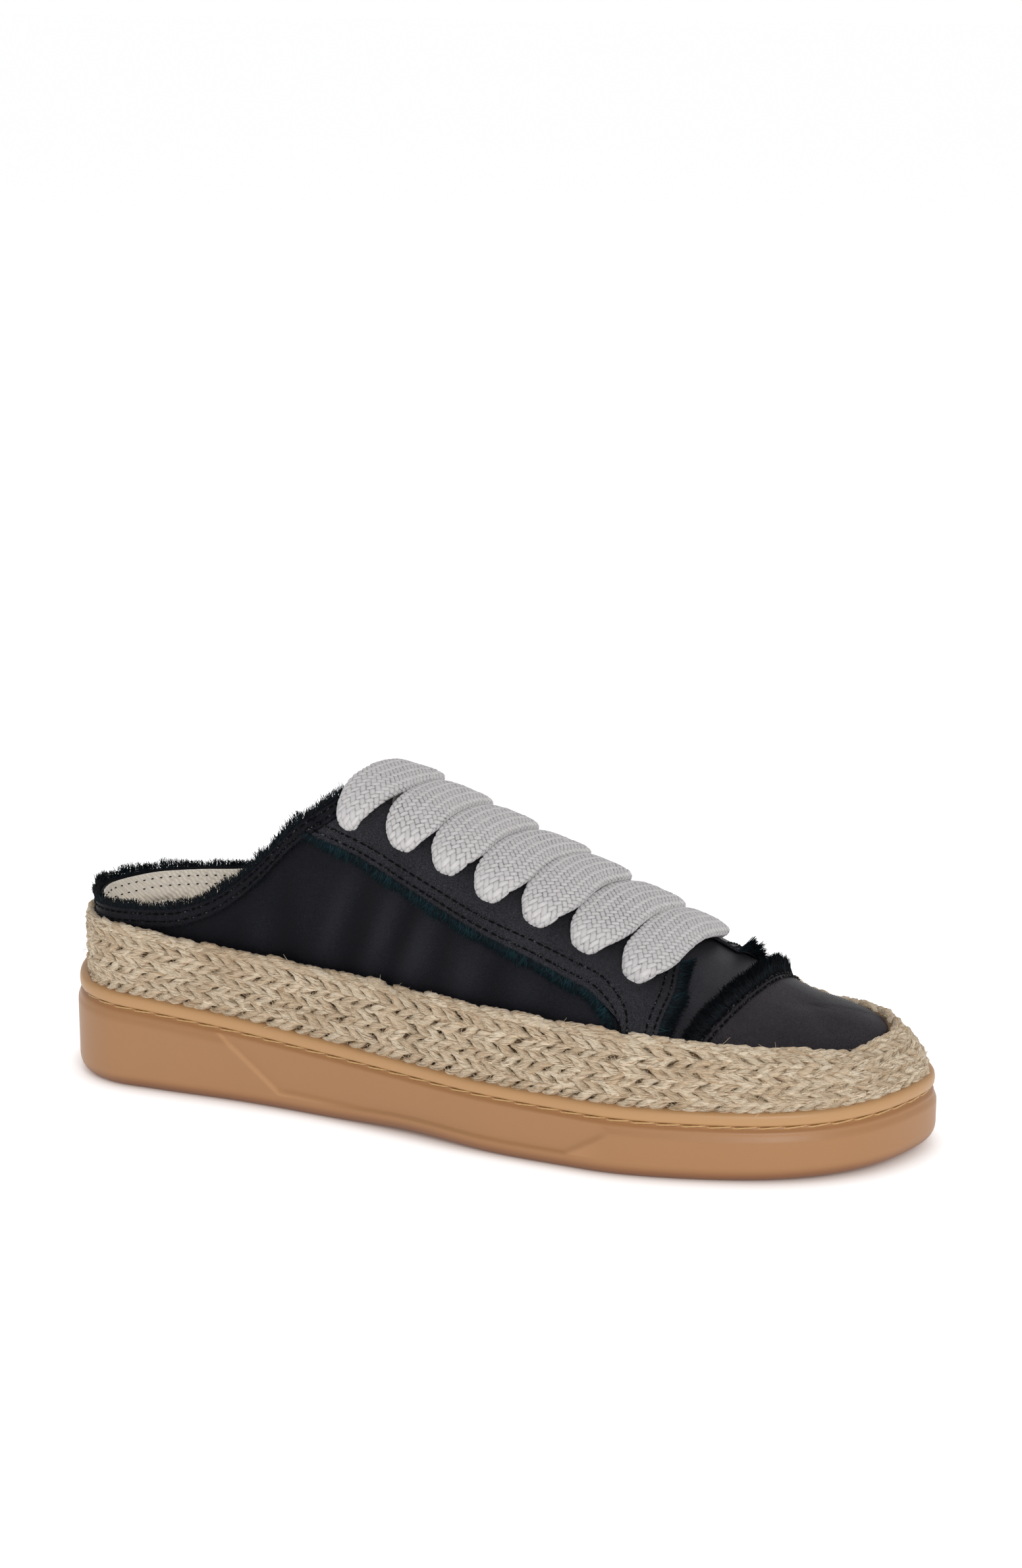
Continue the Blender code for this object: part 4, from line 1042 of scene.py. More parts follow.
def satin_of(name, deep, light, gloss, front=None):
    """Black satin: a fine diagonal twill with a soft, cool gloss and painted sheen in its colour; front is
    the vamp's shades, a brighter copy painted as sheen.
    """
    finish = Finish(name, {"Specular IOR Level": gloss, "Specular Tint": (0.86, 0.88, 1.0, 1.0)})
    x, y, z = finish.axes()
    rib = finish.math("SINE", (x * 0.9 + z * 0.95 + y * 0.5) * (2 * math.pi / TWILL)) * 0.5 + 0.5
    speck = finish.noise(3200.0, 1.0)
    cloud = finish.noise(38.0, 3.0)
    # Ribs, specks and clouds: partly the twill's own pattern, partly painted sheen.
    weave_and_painted_light = (speck - 0.5) * 2.2 + rib * 0.3 + 0.2 + (cloud - 0.5) * 0.8
    if front:
        # Painted light and shade on the quarter: fold crests lighter and troughs darker, and the satin
        # lighter towards the toe.
        weave_and_painted_light = weave_and_painted_light + finish.field("fold") * 0.9 + x * 4.0
        on_vamp = finish.math("GREATER_THAN", x, VAMP_X)
        deep, light = finish.blend(on_vamp, deep, front[0]), finish.blend(on_vamp, light, front[1])
    finish.feed("Base Color", finish.blend(weave_and_painted_light, deep, light))
    finish.feed("Roughness", 0.52 - rib * 0.14 - cloud * 0.1)
    finish.bump(rib * 0.5 + speck * 1.6, 0.00008)
    return finish


quarter_satin = satin_of("satin_twill", *QUARTER_SATIN, VAMP_SATIN_PAINTED_SHEEN)
satin = satin_of("satin_twill_trim", *TRIM_SATIN_PAINTED_SHEEN)
points, faces, folds = lasted(0.0, 0.0, 30, 62)
upper_satin = piece("upper_satin", points, faces, quarter_satin, replaces=("upper",),
                    fields={"fold": folds})
weld(upper_satin, 0.02)
walled(upper_satin, SATIN_WALL)
points, faces, _ = lasted(-SATIN_WALL - LINING_GAP, 0.5, 16, 44)
lining = piece("upper_lining", points, faces, linen)
weld(lining, 0.02)
walled(lining, LINING_WALL)

# ------------------------------------------------------------------ tongue
# A satin tongue lies under the lace and is sewn beneath the front of the
# throat.
TONGUE_DROP, TONGUE_FRONT_DROP, TONGUE_HALF, TONGUE_WALL = 5.4, UPPER_WALL + 0.35, 19.0, 1.8
TONGUE_REAR_X, TONGUE_RISE_X, TONGUE_FRONT_X = -33.0, 66.0, 84.0

x = np.linspace(TONGUE_REAR_X, TONGUE_FRONT_X, 70)[:, None]
key, rise = key_at_ridge(x), ease((x - TONGUE_RISE_X) / (TONGUE_FRONT_X - TONGUE_RISE_X))
drop = mix(TONGUE_DROP, TONGUE_FRONT_DROP, rise)
halves = []
for side in (LATERAL, MEDIAL):
    turn = mix(turn_at_width(side, key, TONGUE_HALF), 1.0, np.linspace(0, 1, 14)[None, :])
    halves.append(lifted(side, key, turn, -drop))
points = over_ridge(halves)
tongue = piece("tongue_satin", points, grid_faces(*points.shape[:2]), satin, replaces=("tongue",))
walled(tongue, TONGUE_WALL)

# ----------------------------------------------------------------- facings
# Eyelet facings of the same satin lap the quarters below the lace.  Each has
# a rounded front corner and a leg down to the jute, and is sewn with two rows
# of black thread.
FACING_LINE = (                   # lower edge of the facing: x, height
    (-52.0, 85.6),
    (-31.0, 79.5),
    (-14.5, 72.6),
    (6.4, 64.2),
    (27.0, 57.2),
    (39.3, 52.6),
    (53.0, 47.6),
)
FACING_REAR_X = -51.0
FACING_CORNER_X, FACING_CORNER = 44.0, 12.5      # where the corner starts, and its length
FACING_FRONT_X = {LATERAL: 66.5, MEDIAL: 74.0}
FACING_TOP = {LATERAL: 0.74, MEDIAL: 0.67}       # turn of the front edge's upper end
FACING_TOP_X = 58.0, 67.0                        # where the upper edge leaves the throat and ends
FACING_BOW = {LATERAL: 4.3, MEDIAL: 0.0}         # how far the front edge bows forward below the lace
COLLAR_BAND, COLLAR_END_X, BAND_GAP = 6.0, -39.5, 0.3
OVERLAY_GAP, OVERLAY_WALL, OVERLAY_TUCK = 0.5, 0.8, 1.2      # tucked in behind the jute's top
SEAM_LIFT = OVERLAY_GAP + OVERLAY_WALL
SEAM_ROWS = (1.9, 4.3)            # rows of thread, in from an edge
SEAM_PITCH, SEAM_LENGTH, SEAM_RADIUS = 2.6, 2.3, 0.30
# The top stop paints light flecks on the black thread: painted glints.
THREAD_TONES_AND_GLINTS = ((0.0, (0.0012, 0.0012, 0.0016)), (0.58, (0.003, 0.003, 0.0035)),
                (0.70, (0.075, 0.078, 0.085)))


def behind_jute(side, key):
    """Turn of an overlay's foot, tucked in behind the top of the jute."""
    return turn_at_height(side, key, jute_top(side, key) - OVERLAY_TUCK)


def key_at_x(x):
    return key_at(x / SOLE_LENGTH + 0.5)


def facing_edge(x):
    """Height of the facing's lower edge: the frayed line, rounded down to the jute."""
    foot = level(JUTE_TOP, key_at_x(x)) - OVERLAY_TUCK
    past = np.clip((x - FACING_CORNER_X) / FACING_CORNER, 0.0, 1.0)
    return foot + (smooth(FACING_LINE, 1, x) - foot) * np.sqrt(1 - past ** 2)


def facing_bow(side, share):
    """Forward shift of the front edge: share is 0 at the jute and 1 at the throat."""
    return FACING_BOW[side] * (1 - ease((share - 0.55) / 0.6))


def facing_top(side, key):
    """Turn of the facing's upper edge, which stops short of the ridge ahead of the throat."""
    leaves, ends = (key_at_x(x) for x in FACING_TOP_X)
    past = ease((key - leaves) / (ends - leaves))
    return np.minimum(edge_turn(side, key), mix(1.0, FACING_TOP[side], past))


def facing_xs(rear, straight, corner):
    """x along the lower edge, closer together round the corner."""
    bend = FACING_CORNER_X + FACING_CORNER * np.sin(np.linspace(0, math.pi / 2, corner))
    return np.concatenate((np.linspace(rear, FACING_CORNER_X, straight)[:-1], bend))


def facing_grid(side, lift):
    front, x = FACING_FRONT_X[side], facing_xs(FACING_REAR_X, 66, 14)
    x = np.concatenate((x, np.linspace(x[-1], front, 12)[1:]))[:, None]
    share = np.linspace(0, 1, 17)[None, :]
    bow = facing_bow(side, share) * ease((x - FACING_CORNER_X) / (front - FACING_CORNER_X))
    key = key_at_x(x + bow)
    top = facing_top(side, key)
    under_band = turn_at_height(side, key, on_last(side, key, top)[..., 2] - COLLAR_BAND - BAND_GAP)
    past_band = np.clip((x - COLLAR_END_X - 0.7) / COLLAR_BAND, 0.0, 1.0)
    low, high = turn_at_height(side, key, facing_edge(x)), mix(under_band, top, past_band)
    return lifted(side, key, mix(low, high, share), lift)


def overlay(name, points, side, node, finish=satin):
    """A lapped piece of satin with a real edge."""
    faces = grid_faces(*points.shape[:2])
    made = piece(name, points, faces[:, ::-1] if side == MEDIAL else faces, finish, replaces=(node,))
    walled(made, OVERLAY_WALL, 1.0)
    return made


def read_along(rows, run, at):
    """Rows of a curve, read at lengths along it."""
    return np.stack([np.interp(at, run, rows[:, c]) for c in range(3)], axis=-1)


def seam(points, normals, pitch=SEAM_PITCH, length=SEAM_LENGTH, radius=SEAM_RADIUS):
    """Short raised stitches, one after another along a curve."""
    run = run_along(points)
    count = max(int(run[-1] / pitch), 1)
    steps = np.linspace(-0.5, 0.5, 5)
    at = (np.arange(count)[:, None] + 0.5) / count * run[-1] + steps * length
    out = unit(read_along(normals, run, at))
    paths = read_along(points, run, at) + out * (radius * (0.9 - 2.2 * np.abs(2 * steps) ** 3))[..., None]
    return tubes(paths, out, radius * (1 - 0.35 * np.abs(2 * steps) ** 3), radius, 6)


def edge_curve(side, inset, lift):
    """Curve on the quarter at an inset from the facing's lower edge, heel to toe."""
    x = facing_xs(FACING_REAR_X + 1.0, 120, 40)
    flat = np.stack((x, facing_edge(x)), axis=-1)
    along = unit(np.gradient(flat, axis=0))
    flat = flat + np.stack((-along[:, 1], along[:, 0]), axis=-1) * inset
    key = key_at_x(flat[:, 0])
    turn = turn_at_height(side, key, np.maximum(flat[:, 1], level(JUTE_TOP, key) - OVERLAY_TUCK))
    return lifted(side, key, turn, lift), last_normal(side, key, turn)


def front_curve(side, inset, lift):
    """Curve up the facing's front edge, from the jute to the throat."""
    share = np.linspace(0, 1, 60)
    key = key_at_x(FACING_FRONT_X[side] - inset + facing_bow(side, share))
    turn = mix(behind_jute(side, key), facing_top(side, key), share)
    return lifted(side, key, turn, lift), last_normal(side, key, turn)


black_thread = Finish("black_thread", {"Roughness": 0.5, "Specular IOR Level": 0.03})
black_thread.feed("Base Color", black_thread.ramp(black_thread.noise(1300.0), *THREAD_TONES_AND_GLINTS))


def seam_rows(name, curves, slot, **sizes):
    points, faces, _ = joined([seam(points, normals, **sizes) for points, normals in curves])
    piece(name, points, faces, black_thread)


curves = []
for side, name in ((LATERAL, "lateral"), (MEDIAL, "medial")):
    overlay("facing_satin_" + name, facing_grid(side, OVERLAY_GAP), side, "facing_" + name)
    for inset in SEAM_ROWS:
        curves += [edge_curve(side, inset, SEAM_LIFT), front_curve(side, inset, SEAM_LIFT)]
seam_rows("facing_seams", curves, "satin")

# ----------------------------------------------------------------- toe cap
# The toe cap is cut from the same satin, coloured paler as painted sheen for the light it catches, and laps
# the vamp.
# Its rear edge sweeps back down both sides and is sewn with two coarser rows.
CAP_SIDE_STATION, CAP_RIDGE_STATION = {LATERAL: 0.797, MEDIAL: 0.806}, 0.8260
CAP_CROWN, CAP_COLUMNS = 0.88, 34     # above this turn the edge rounds over the ridge
CAP_SEAM_ROWS, CAP_SEAM = (1.1, 3.1), {"pitch": 3.1, "length": 2.8, "radius": 0.42}
TOE_SATIN_PAINTED_SHEEN = (0.0138, 0.0120, 0.0146), (0.053, 0.0465, 0.053), 0.030


def cap_edge(side, turn):
    """Outline key of the cap's rear edge, swept back down both sides."""
    over = np.clip((turn - CAP_CROWN) / (1 - CAP_CROWN), 0.0, 1.0)
    share = np.minimum(turn, CAP_CROWN) + (1 - CAP_CROWN) * (over - over ** 2 / 2)
    share = share / (CAP_CROWN + (1 - CAP_CROWN) / 2)
    return mix(key_at(CAP_SIDE_STATION[side]), key_at(CAP_RIDGE_STATION), share)


def cap_curve(inset, lift, count=70):
    """Curve at an inset in front of the cap's rear edge, outer side to inner side."""
    sides, turn = [], np.linspace(0.0, 1.0, count)
    for side in (LATERAL, MEDIAL):
        key = cap_edge(side, turn)
        rise = mix(behind_jute(side, key), 1.0, turn)
        pace = np.linalg.norm(on_last(side, key, rise) - on_last(side, key - 0.4, rise), axis=-1) / 0.4
        key = key + inset / pace
        rise = mix(behind_jute(side, key), 1.0, turn)
        sides.append((lifted(side, key, rise, lift), last_normal(side, key, rise)))
    return [np.concatenate((a, b[-2::-1])) for a, b in zip(*sides)]


across, along = np.linspace(0.0, 1.0, CAP_COLUMNS)[None, :], np.linspace(0.0, 1.0, 44)[:, None]
halves = []
for side in (LATERAL, MEDIAL):
    key = mix(cap_edge(side, across), END_KEY, along)
    halves.append(lifted(side, key, mix(behind_jute(side, key), 1.0, across), OVERLAY_GAP))
points = crested(over_ridge(halves), CAP_COLUMNS - 1)
cap = overlay("toe_cap_satin", points, LATERAL, "toe_cap", satin_of("satin_twill_toe", *TOE_SATIN_PAINTED_SHEEN))
weld(cap, 0.02)
seam_rows("toe_cap_seams", [cap_curve(inset, SEAM_LIFT) for inset in CAP_SEAM_ROWS], "satin", **CAP_SEAM)

# ------------------------------------------------------------- collar band
# A narrow satin band is sewn round the collar.  The lining shows two rows of
# small stitches on its inner face.
COLLAR_SATIN = (0.0035, 0.0035, 0.0048), (0.017, 0.017, 0.021), 0.07
COLLAR_SEAM_ROWS, LINING_SEAM_ROWS = (2.0, 4.4), (2.4, 5.2)
LINING_SEAM = {"pitch": 2.9, "length": 0.75, "radius": 0.22}


def collar_curve(drop, lift, steps=240):
    """Curve a little below the top edge, inner throat round the heel to outer throat."""
    keys = key_at_ridge(COLLAR_END_X) * np.linspace(0.0, 1.0, steps)
    rows = []
    for side, order in ((MEDIAL, keys[::-1]), (LATERAL, keys[1:])):
        height = on_last(side, order, edge_turn(side, order))[..., 2] - drop
        turn = np.maximum(turn_at_height(side, order, height), behind_jute(side, order))
        rows.append((lifted(side, order, turn, lift), last_normal(side, order, turn)))
    return [np.concatenate(parts) for parts in zip(*rows)]


drops = np.linspace(COLLAR_BAND, 0.0, 6)
points = np.stack([collar_curve(drop, OVERLAY_GAP, 150)[0] for drop in drops], axis=1)
overlay("collar_band_satin", points, LATERAL, "collar_band", satin_of("satin_twill_collar", *COLLAR_SATIN))
seam_rows("collar_seams", [collar_curve(drop, SEAM_LIFT) for drop in COLLAR_SEAM_ROWS], "satin")
rows = [collar_curve(drop, -SATIN_WALL - LINING_WALL - LINING_GAP) for drop in LINING_SEAM_ROWS]
seam_rows("lining_seams", [(points, -normals) for points, normals in rows], "linen", **LINING_SEAM)

# ------------------------------------------------------------- frayed edges
# The raw satin edges are brushed out: loose teal-black weft threads stand in
# clumped tufts at the collar, the facings and behind the toe cap.
FRAY_RADIUS, TUFT_LENGTH = 0.13, 2.1
FRAY_TONES = ((0.0, (0.0025, 0.003, 0.0045)), (0.5, (0.003, 0.007, 0.011)),
              (0.8, (0.004, 0.020, 0.028)), (1.0, (0.010, 0.045, 0.056)))
# Each edge: threads, their length and how far they stand off (from one end of
# the edge to the other), depth of their roots, teal, splay and raggedness.
COLLAR_FRAY = (4800, (3.4, 2.8, 2.5, 4.0, 2.7, 3.2, 3.6), 0.0, 1.0, 0.30, 0.2, 0.4)
BAND_FRAY = (900, 1.5, 0.3, 0.4, 0.2, 0.9, 0.4)
FACING_FRAY = {
    LATERAL: (2600, 3.0, 0.10, 0.8, 0.72, 0.45, 0.4),
    MEDIAL: (1000, 3.0, 0.10, 0.8, 0.72, 0.45, 0.4),
}
FRONT_FRAY = {
    LATERAL: (1100, (6.0, 5.0, 4.2, 3.8, 4.0), (0.3, 0.3, 0.35, 0.4, 0.6), 0.8, 0.45, 0.4, 0.4),
    MEDIAL: (600, (3.0, 4.0, 6.5), (0.4, 0.9, 2.2), 0.8, 0.45, 0.4, 0.4),
}
CAP_FRAY = (4400, 5.6, (0.25, 0.35, 0.75, 0.75, 0.5), 1.9, 0.22, 0.22, 0.12)

frayed = Finish("frayed_threads", {"Roughness": 0.65, "Specular IOR Level": 0.2, "Sheen Weight": 0.0})
frayed.feed("Base Color", frayed.ramp(frayed.field("tint"), *FRAY_TONES))


def fray(points, normals, growth, count, length, stand, depth, teal, splay, ragged):
    """Threads rooted along a curve: growth and normals are directions at its points."""
    run = run_along(points)
    at = np.sort(chance.random(count)) * run[-1]
    tuft = np.floor(at / TUFT_LENGTH) * 7.13 % 1.0
    root, out, grow = (read_along(rows, run, at) for rows in (points, normals, growth))
    out, grow = unit(out), unit(grow)
    side_way = unit(np.cross(out, grow))

    def from_end_to_end(values):
        return np.interp(at / run[-1], np.linspace(0, 1, np.size(values)), np.atleast_1d(values))
    root = root + out * chance.uniform(-0.15, 0.75, (count, 1)) * depth
    root = root + grow * chance.uniform(-0.5, 0.3, (count, 1))
    sway = chance.normal(0.0, splay, (count, 1)) + 0.45 * (tuft[:, None] - 0.5)
    rise = from_end_to_end(stand)[:, None] + chance.normal(0.0, 0.2, (count, 1))
    reach = (from_end_to_end(length) * (0.92 - ragged * 0.5 + ragged * tuft)
             * chance.uniform(0.72, 1.15, count))[:, None, None]
    curl = chance.normal(0.0, 0.5, (count, 1))
    steps = np.linspace(0.0, 1.0, 3)[None, :]
    way = unit(grow[:, None] + side_way[:, None] * (sway + curl * steps)[..., None] * 0.8
               + out[:, None] * (rise * (0.4 + steps))[..., None])
    way[:, 0] = 0.0
    paths = root[:, None] + np.cumsum(way, axis=1) * reach / 2
    width = FRAY_RADIUS * (1.05 - 0.55 * steps)
    made, faces, _ = tubes(paths, np.broadcast_to(out[:, None], paths.shape), width, width, 3)
    tint = np.clip(chance.normal(teal, 0.2, count) + 0.2 * (tuft - 0.5), 0.0, 1.0)
    return made, faces, {"tint": held(tint, made)}


def fray_piece(name, parts, replaces=()):
    points, faces, fields = joined(parts)
    piece(name, points, faces, frayed, replaces=replaces, fields=fields)


root, normals = collar_curve(0.4, OVERLAY_GAP + 0.3)
below = collar_curve(3.0, OVERLAY_GAP + 0.3)[0]
seam_line, seam_normals = collar_curve(5.6, OVERLAY_GAP + 0.4)
fray_piece("collar_fray", [fray(root, normals, root - below, *COLLAR_FRAY),
                           fray(seam_line, seam_normals, below - root, *BAND_FRAY)])

for side, name in ((LATERAL, "lateral"), (MEDIAL, "medial")):
    root, normals = edge_curve(side, 0.2, OVERLAY_GAP + 0.5)
    lower = edge_curve(side, -1.5, OVERLAY_GAP + 0.2)[0] + 1e-4
    fray_piece("facing_fray_" + name, [fray(root, normals, lower - root, *FACING_FRAY[side])],
               replaces=("facing_fringe_" + name,))
    root, normals = front_curve(side, 0.2, OVERLAY_GAP + 0.5)
    ahead = front_curve(side, -1.5, OVERLAY_GAP + 0.5)[0]
    fray_piece("front_fray_" + name, [fray(root, normals, ahead - root, *FRONT_FRAY[side])])

root, normals = cap_curve(0.3, OVERLAY_GAP + 0.2, 120)
behind = cap_curve(-1.5, OVERLAY_GAP + 0.2, 120)[0]
fray_piece("toe_cap_fray", [fray(root, normals, behind - root, *CAP_FRAY)], replaces=("toe_cap_fringe",))

# -------------------------------------------------------------------- lace
# One wide flat lace of tubular braid.  Seven plump bars cross the throat and
# dive into hidden holes; narrow returns run under the facings.
# Each bar, rear first: half width towards the toe, towards the heel and at the
# outer hole, length over which its toe edge spreads, and lift from the last.
BARS = (
    (10.6, 5.0, 2.4, 27.0, 2.7),
    (8.8, 7.2, 3.4, 13.0, 3.5),
    (8.8, 7.0, 3.2, 13.0, 3.75),
    (9.2, 6.6, 3.3, 15.0, 3.75),
    (9.8, 6.9, 3.3, 16.0, 3.75),
    (9.8, 7.4, 3.3, 16.0, 3.75),
    (8.7, 6.6, 3.0, 14.0, 3.75),
)
LACE_FIRST_X, LACE_LAST_X, LACE_SLANT = -33.5, 57.8, 0.13
EYELET_OUT_REAR, EYELET_OUT_FRONT = {LATERAL: 22.0, MEDIAL: 20.0}, {LATERAL: 28.5, MEDIAL: 22.5}
# How far each hole lies back and in from its place in an even row, rear first.
HOLE_SHIFTS = {
    LATERAL: ((2.0, 0.9), (0.3, 0.9), (1.0, 0.3), (2.3, -1.0), (2.4, -0.4), (2.2, 0.2), (1.2, 0.3)),
    MEDIAL: ((3.0, 2.4), (2.4, 2.0), (2.8, 3.0), (2.8, 1.6), (4.6, 4.4), (3.0, 3.6), (3.8, 3.0)),
}
LACE_HALF, LACE_THICK = 8.7, 2.3
LACE_SPREAD_HEEL, LACE_SPREAD_INNER = 13.0, 7.0      # length over which a bar widens
LACE_OVER, LACE_UNDER, LACE_ARCH, LACE_TILT = 3.75, -3.4, 0.1, math.radians(5)
DIVE_TURN = 75                    # degrees either side of level through which a bar dives
BRAID_COLUMNS, BRAID_SQUARE = 97, 2.3
FLOAT_ROWS, FLOAT_COLUMNS = 6, 5
FLOAT_SPACING, FLOAT_PITCH, FLOAT_LEAN = 1.66, 2.05, math.radians(42)
FLOAT_LENGTH, FLOAT_WIDTH, FLOAT_HEIGHT, FLOAT_SINK = 3.0, 1.76, 0.56, 0.16
CORE_GRID, CORE_INSET = (50, 28), 0.18               # the plain tube under a bar's braid
RETURN_HALF, RETURN_THICK, RETURN_GRID = 3.4, 1.0, (26, 18)
LACE_WHITE, LACE_SHADED_GREY, LACE_DIP_SHADE = (0.68, 0.655, 0.65), (0.48, 0.463, 0.466), (0.17, 0.163, 0.166)
# The core under the floats, also used for the returns, is coloured darker than the braid: painted shade
# between the floats.
LACE_CORE_SHADE_DEEP, LACE_CORE_SHADE_LIGHT = (0.24, 0.22, 0.20), (0.40, 0.375, 0.35)


def eyelets(side):
    """One side's lace holes, rear first: side, outline key and turn."""
    share = np.arange(len(BARS)) / (len(BARS) - 1)
    x = mix(LACE_FIRST_X, LACE_LAST_X, share)
    out = mix(EYELET_OUT_REAR[side], EYELET_OUT_FRONT[side], share)
    if side == MEDIAL:
        x = x + LACE_SLANT * (out + mix(EYELET_OUT_REAR[LATERAL], EYELET_OUT_FRONT[LATERAL], share))
    back, inwards = np.array(HOLE_SHIFTS[side]).T
    key = key_at_ridge(x - back)
    return [(side, *hole) for hole in zip(key, turn_at_width(side, key, out - inwards))]


def crossing(start, end, lift, arch, share):
    """Run over the throat between two holes, along the last's own section."""
    (side_a, key_a, turn_a), (side_b, key_b, turn_b) = start, end
    y = mix(on_last(side_a, key_a, turn_a)[1], on_last(side_b, key_b, turn_b)[1], share)
    key = mix(key_a, key_b, share)
    ridge_y = last_section(LATERAL, key)[1][..., 1]
    side = np.where(y < ridge_y, LATERAL, MEDIAL)
    turn = turn_at_width(side, key, np.abs(y - ridge_y))
    return lifted(side, key, turn, lift + arch * np.sin(math.pi * share)), last_normal(side, key, turn)


DIVE_RADIUS = (LACE_OVER - LACE_UNDER) / 2


def dive(hole, angles):
    """Half turn through a hole, from above the facing to under the quarter."""
    side, key, turn = hole
    normal, at = last_normal(side, key, turn), on_last(side, key, turn)
    inwards = np.array((0.0, -float(side), 0.0))
    inwards = unit(inwards - normal * (inwards * normal).sum())
    a = np.radians(angles)[:, None]
    points = (at + normal * ((LACE_OVER + LACE_UNDER) / 2 + DIVE_RADIUS * np.sin(a))
              + inwards * DIVE_RADIUS * 0.8 * (1 - np.cos(a)))
    return points, unit(normal * np.sin(a) - inwards * np.cos(a))


def even(points, normals, step):
    """The curve read at even steps, softened a little."""
    for _ in range(3):
        points[1:-1] = points[1:-1] * 0.5 + (points[:-2] + points[2:]) * 0.25
        normals[1:-1] = normals[1:-1] * 0.5 + (normals[:-2] + normals[2:]) * 0.25
    run = run_along(points)
    at = np.linspace(0.0, run[-1], int(run[-1] / step))
    return read_along(points, run, at), unit(read_along(normals, run, at)), at


def read_grid(grid, row, column):
    """A grid read between its points."""
    i = np.clip(row.astype(int), 0, grid.shape[0] - 2)
    j = np.clip(column.astype(int), 0, grid.shape[1] - 2)
    t, u = (row - i)[..., None], (column - j)[..., None]
    return (grid[i, j] * (1 - t) * (1 - u) + grid[i + 1, j] * t * (1 - u)
            + grid[i, j + 1] * (1 - t) * u + grid[i + 1, j + 1] * t * u)


def braid_surface(points, up, half, thick, tilt):
    """Grid of a flattened tube, its even columns run from the underside over the top."""
    along = unit(np.gradient(points, axis=0))
    broad = np.cross(up, along)
    broad = unit(broad * np.sign(broad[:, :1].sum()))
    up = unit(np.cross(along, broad)) * np.sign((np.cross(along, broad) * up).sum())
    broad, up = (broad * math.cos(tilt) + up * math.sin(tilt)), (up * math.cos(tilt) - broad * math.sin(tilt))
    angle = np.linspace(-math.pi, math.pi, 161)[None, :]
    ring_x, ring_z = (np.sign(part) * np.abs(part) ** (2 / BRAID_SQUARE)
                      for part in (np.sin(angle), np.cos(angle)))
    x = np.where(ring_x > 0, half[0][:, None], half[1][:, None]) * ring_x
    z = thick[:, None] * ring_z
    lengths = np.cumsum(np.hypot(np.diff(x), np.diff(z)), axis=1)
    length = np.concatenate((np.zeros((len(points), 1)), lengths), axis=1)
    grid = []
    for i in range(len(points)):
        at = np.linspace(0, length[i, -1], BRAID_COLUMNS)
        across, rise = np.interp(at, length[i], x[i]), np.interp(at, length[i], z[i])
        grid.append(points[i] + broad[i] * across[:, None] + up[i] * rise[:, None])
    grid = np.stack(grid)
    normal = unit(np.cross(np.gradient(grid, axis=0), np.gradient(grid, axis=1)))
    outward = grid - points[:, None]
    normal = normal * np.sign((normal * outward).sum(-1, keepdims=True))
    return grid, normal, length[:, -1] / 2


def floats(grid, normal, half_round, at, half):
    """The braid's strands where they lie over their neighbours: small closed pillows."""
    j, i = np.meshgrid(np.arange(-0.5, at[-1] / FLOAT_PITCH + 0.5), np.arange(-8, 9))
    run = (j + 0.5 * (i % 2)) * FLOAT_PITCH
    squeeze = 0.74 + 0.26 * np.interp(run, at, half.mean(axis=0)) / LACE_HALF
    place = i * FLOAT_SPACING * squeeze
    keep = (np.abs(place) < np.interp(run, at, half_round) / 2 + 1.0) & (run > 1.0) & (run < at[-1] - 1.0)
    lean = np.where(i % 2 == 0, 1.0, -1.0)
    run, place, lean, squeeze = (values[keep][:, None, None] for values in (run, place, lean, squeeze))
    count = len(run)
    jitter = chance.normal(0.0, 1.0, (4, count, 1, 1))
    a = np.linspace(-1, 1, FLOAT_ROWS)[None, :, None]
    b = np.linspace(-1, 1, FLOAT_COLUMNS)[None, None, :]
    plump = 0.45 + 0.55 * np.sqrt(1 - np.abs(a) ** 5 * 0.995)
    lean_by = lean * FLOAT_LEAN * (1 + 0.07 * jitter[0])
    reach = a * FLOAT_LENGTH / 2 * (1 + 0.05 * jitter[1]) * (1.6 - 0.6 * squeeze)
    width = b * FLOAT_WIDTH / 2 * plump * (1 + 0.05 * jitter[2])
    down = run + reach * np.cos(lean_by) - width * np.sin(lean_by)
    round_it = place + reach * np.sin(lean_by) + width * np.cos(lean_by)
    row = down / at[-1] * (grid.shape[0] - 1)
    column = (round_it / np.interp(down, at, half_round) + 1) / 2 * (grid.shape[1] - 1)
    crown = (1 - a ** 4) ** 0.6 * (1 - 0.9 * b ** 4) ** 0.6
    bulge = FLOAT_HEIGHT * (1 + 0.08 * jitter[3]) * crown - FLOAT_SINK
    points = read_grid(grid, row, column) + read_grid(normal, row, column) * bulge[..., None]
    cells = np.arange(FLOAT_ROWS * FLOAT_COLUMNS).reshape(FLOAT_ROWS, FLOAT_COLUMNS)
    rim = np.concatenate((cells[0], cells[1:, -1], cells[-1, -2::-1], cells[-2:0:-1, 0]))
    starts = np.arange(count)[:, None] * cells.size
    quads = (grid_faces(FLOAT_ROWS, FLOAT_COLUMNS)[None] + starts[..., None]).reshape(-1, 4)
    base = rim[None] + starts
    # Floats leaning one way are tinted greyer, painted light and shade for how each lean catches the light;
    # the rest of the tint is random.
    tint = np.clip(0.45 - 0.3 * lean.ravel() + 0.3 * (chance.random(count) - 0.5), 0.0, 1.0)
    tint = held(tint, points)
    a, b = (np.broadcast_to(share, points.shape[:-1]) for share in (a, b))
    return points, [quads, base], {"tint": tint, "run": a * 0.5 + tint * 9, "turn": b * 0.5,
                                   "dip": np.clip(a ** 4 * 0.8 + b ** 4 * 0.5, 0.0, 1.0)}


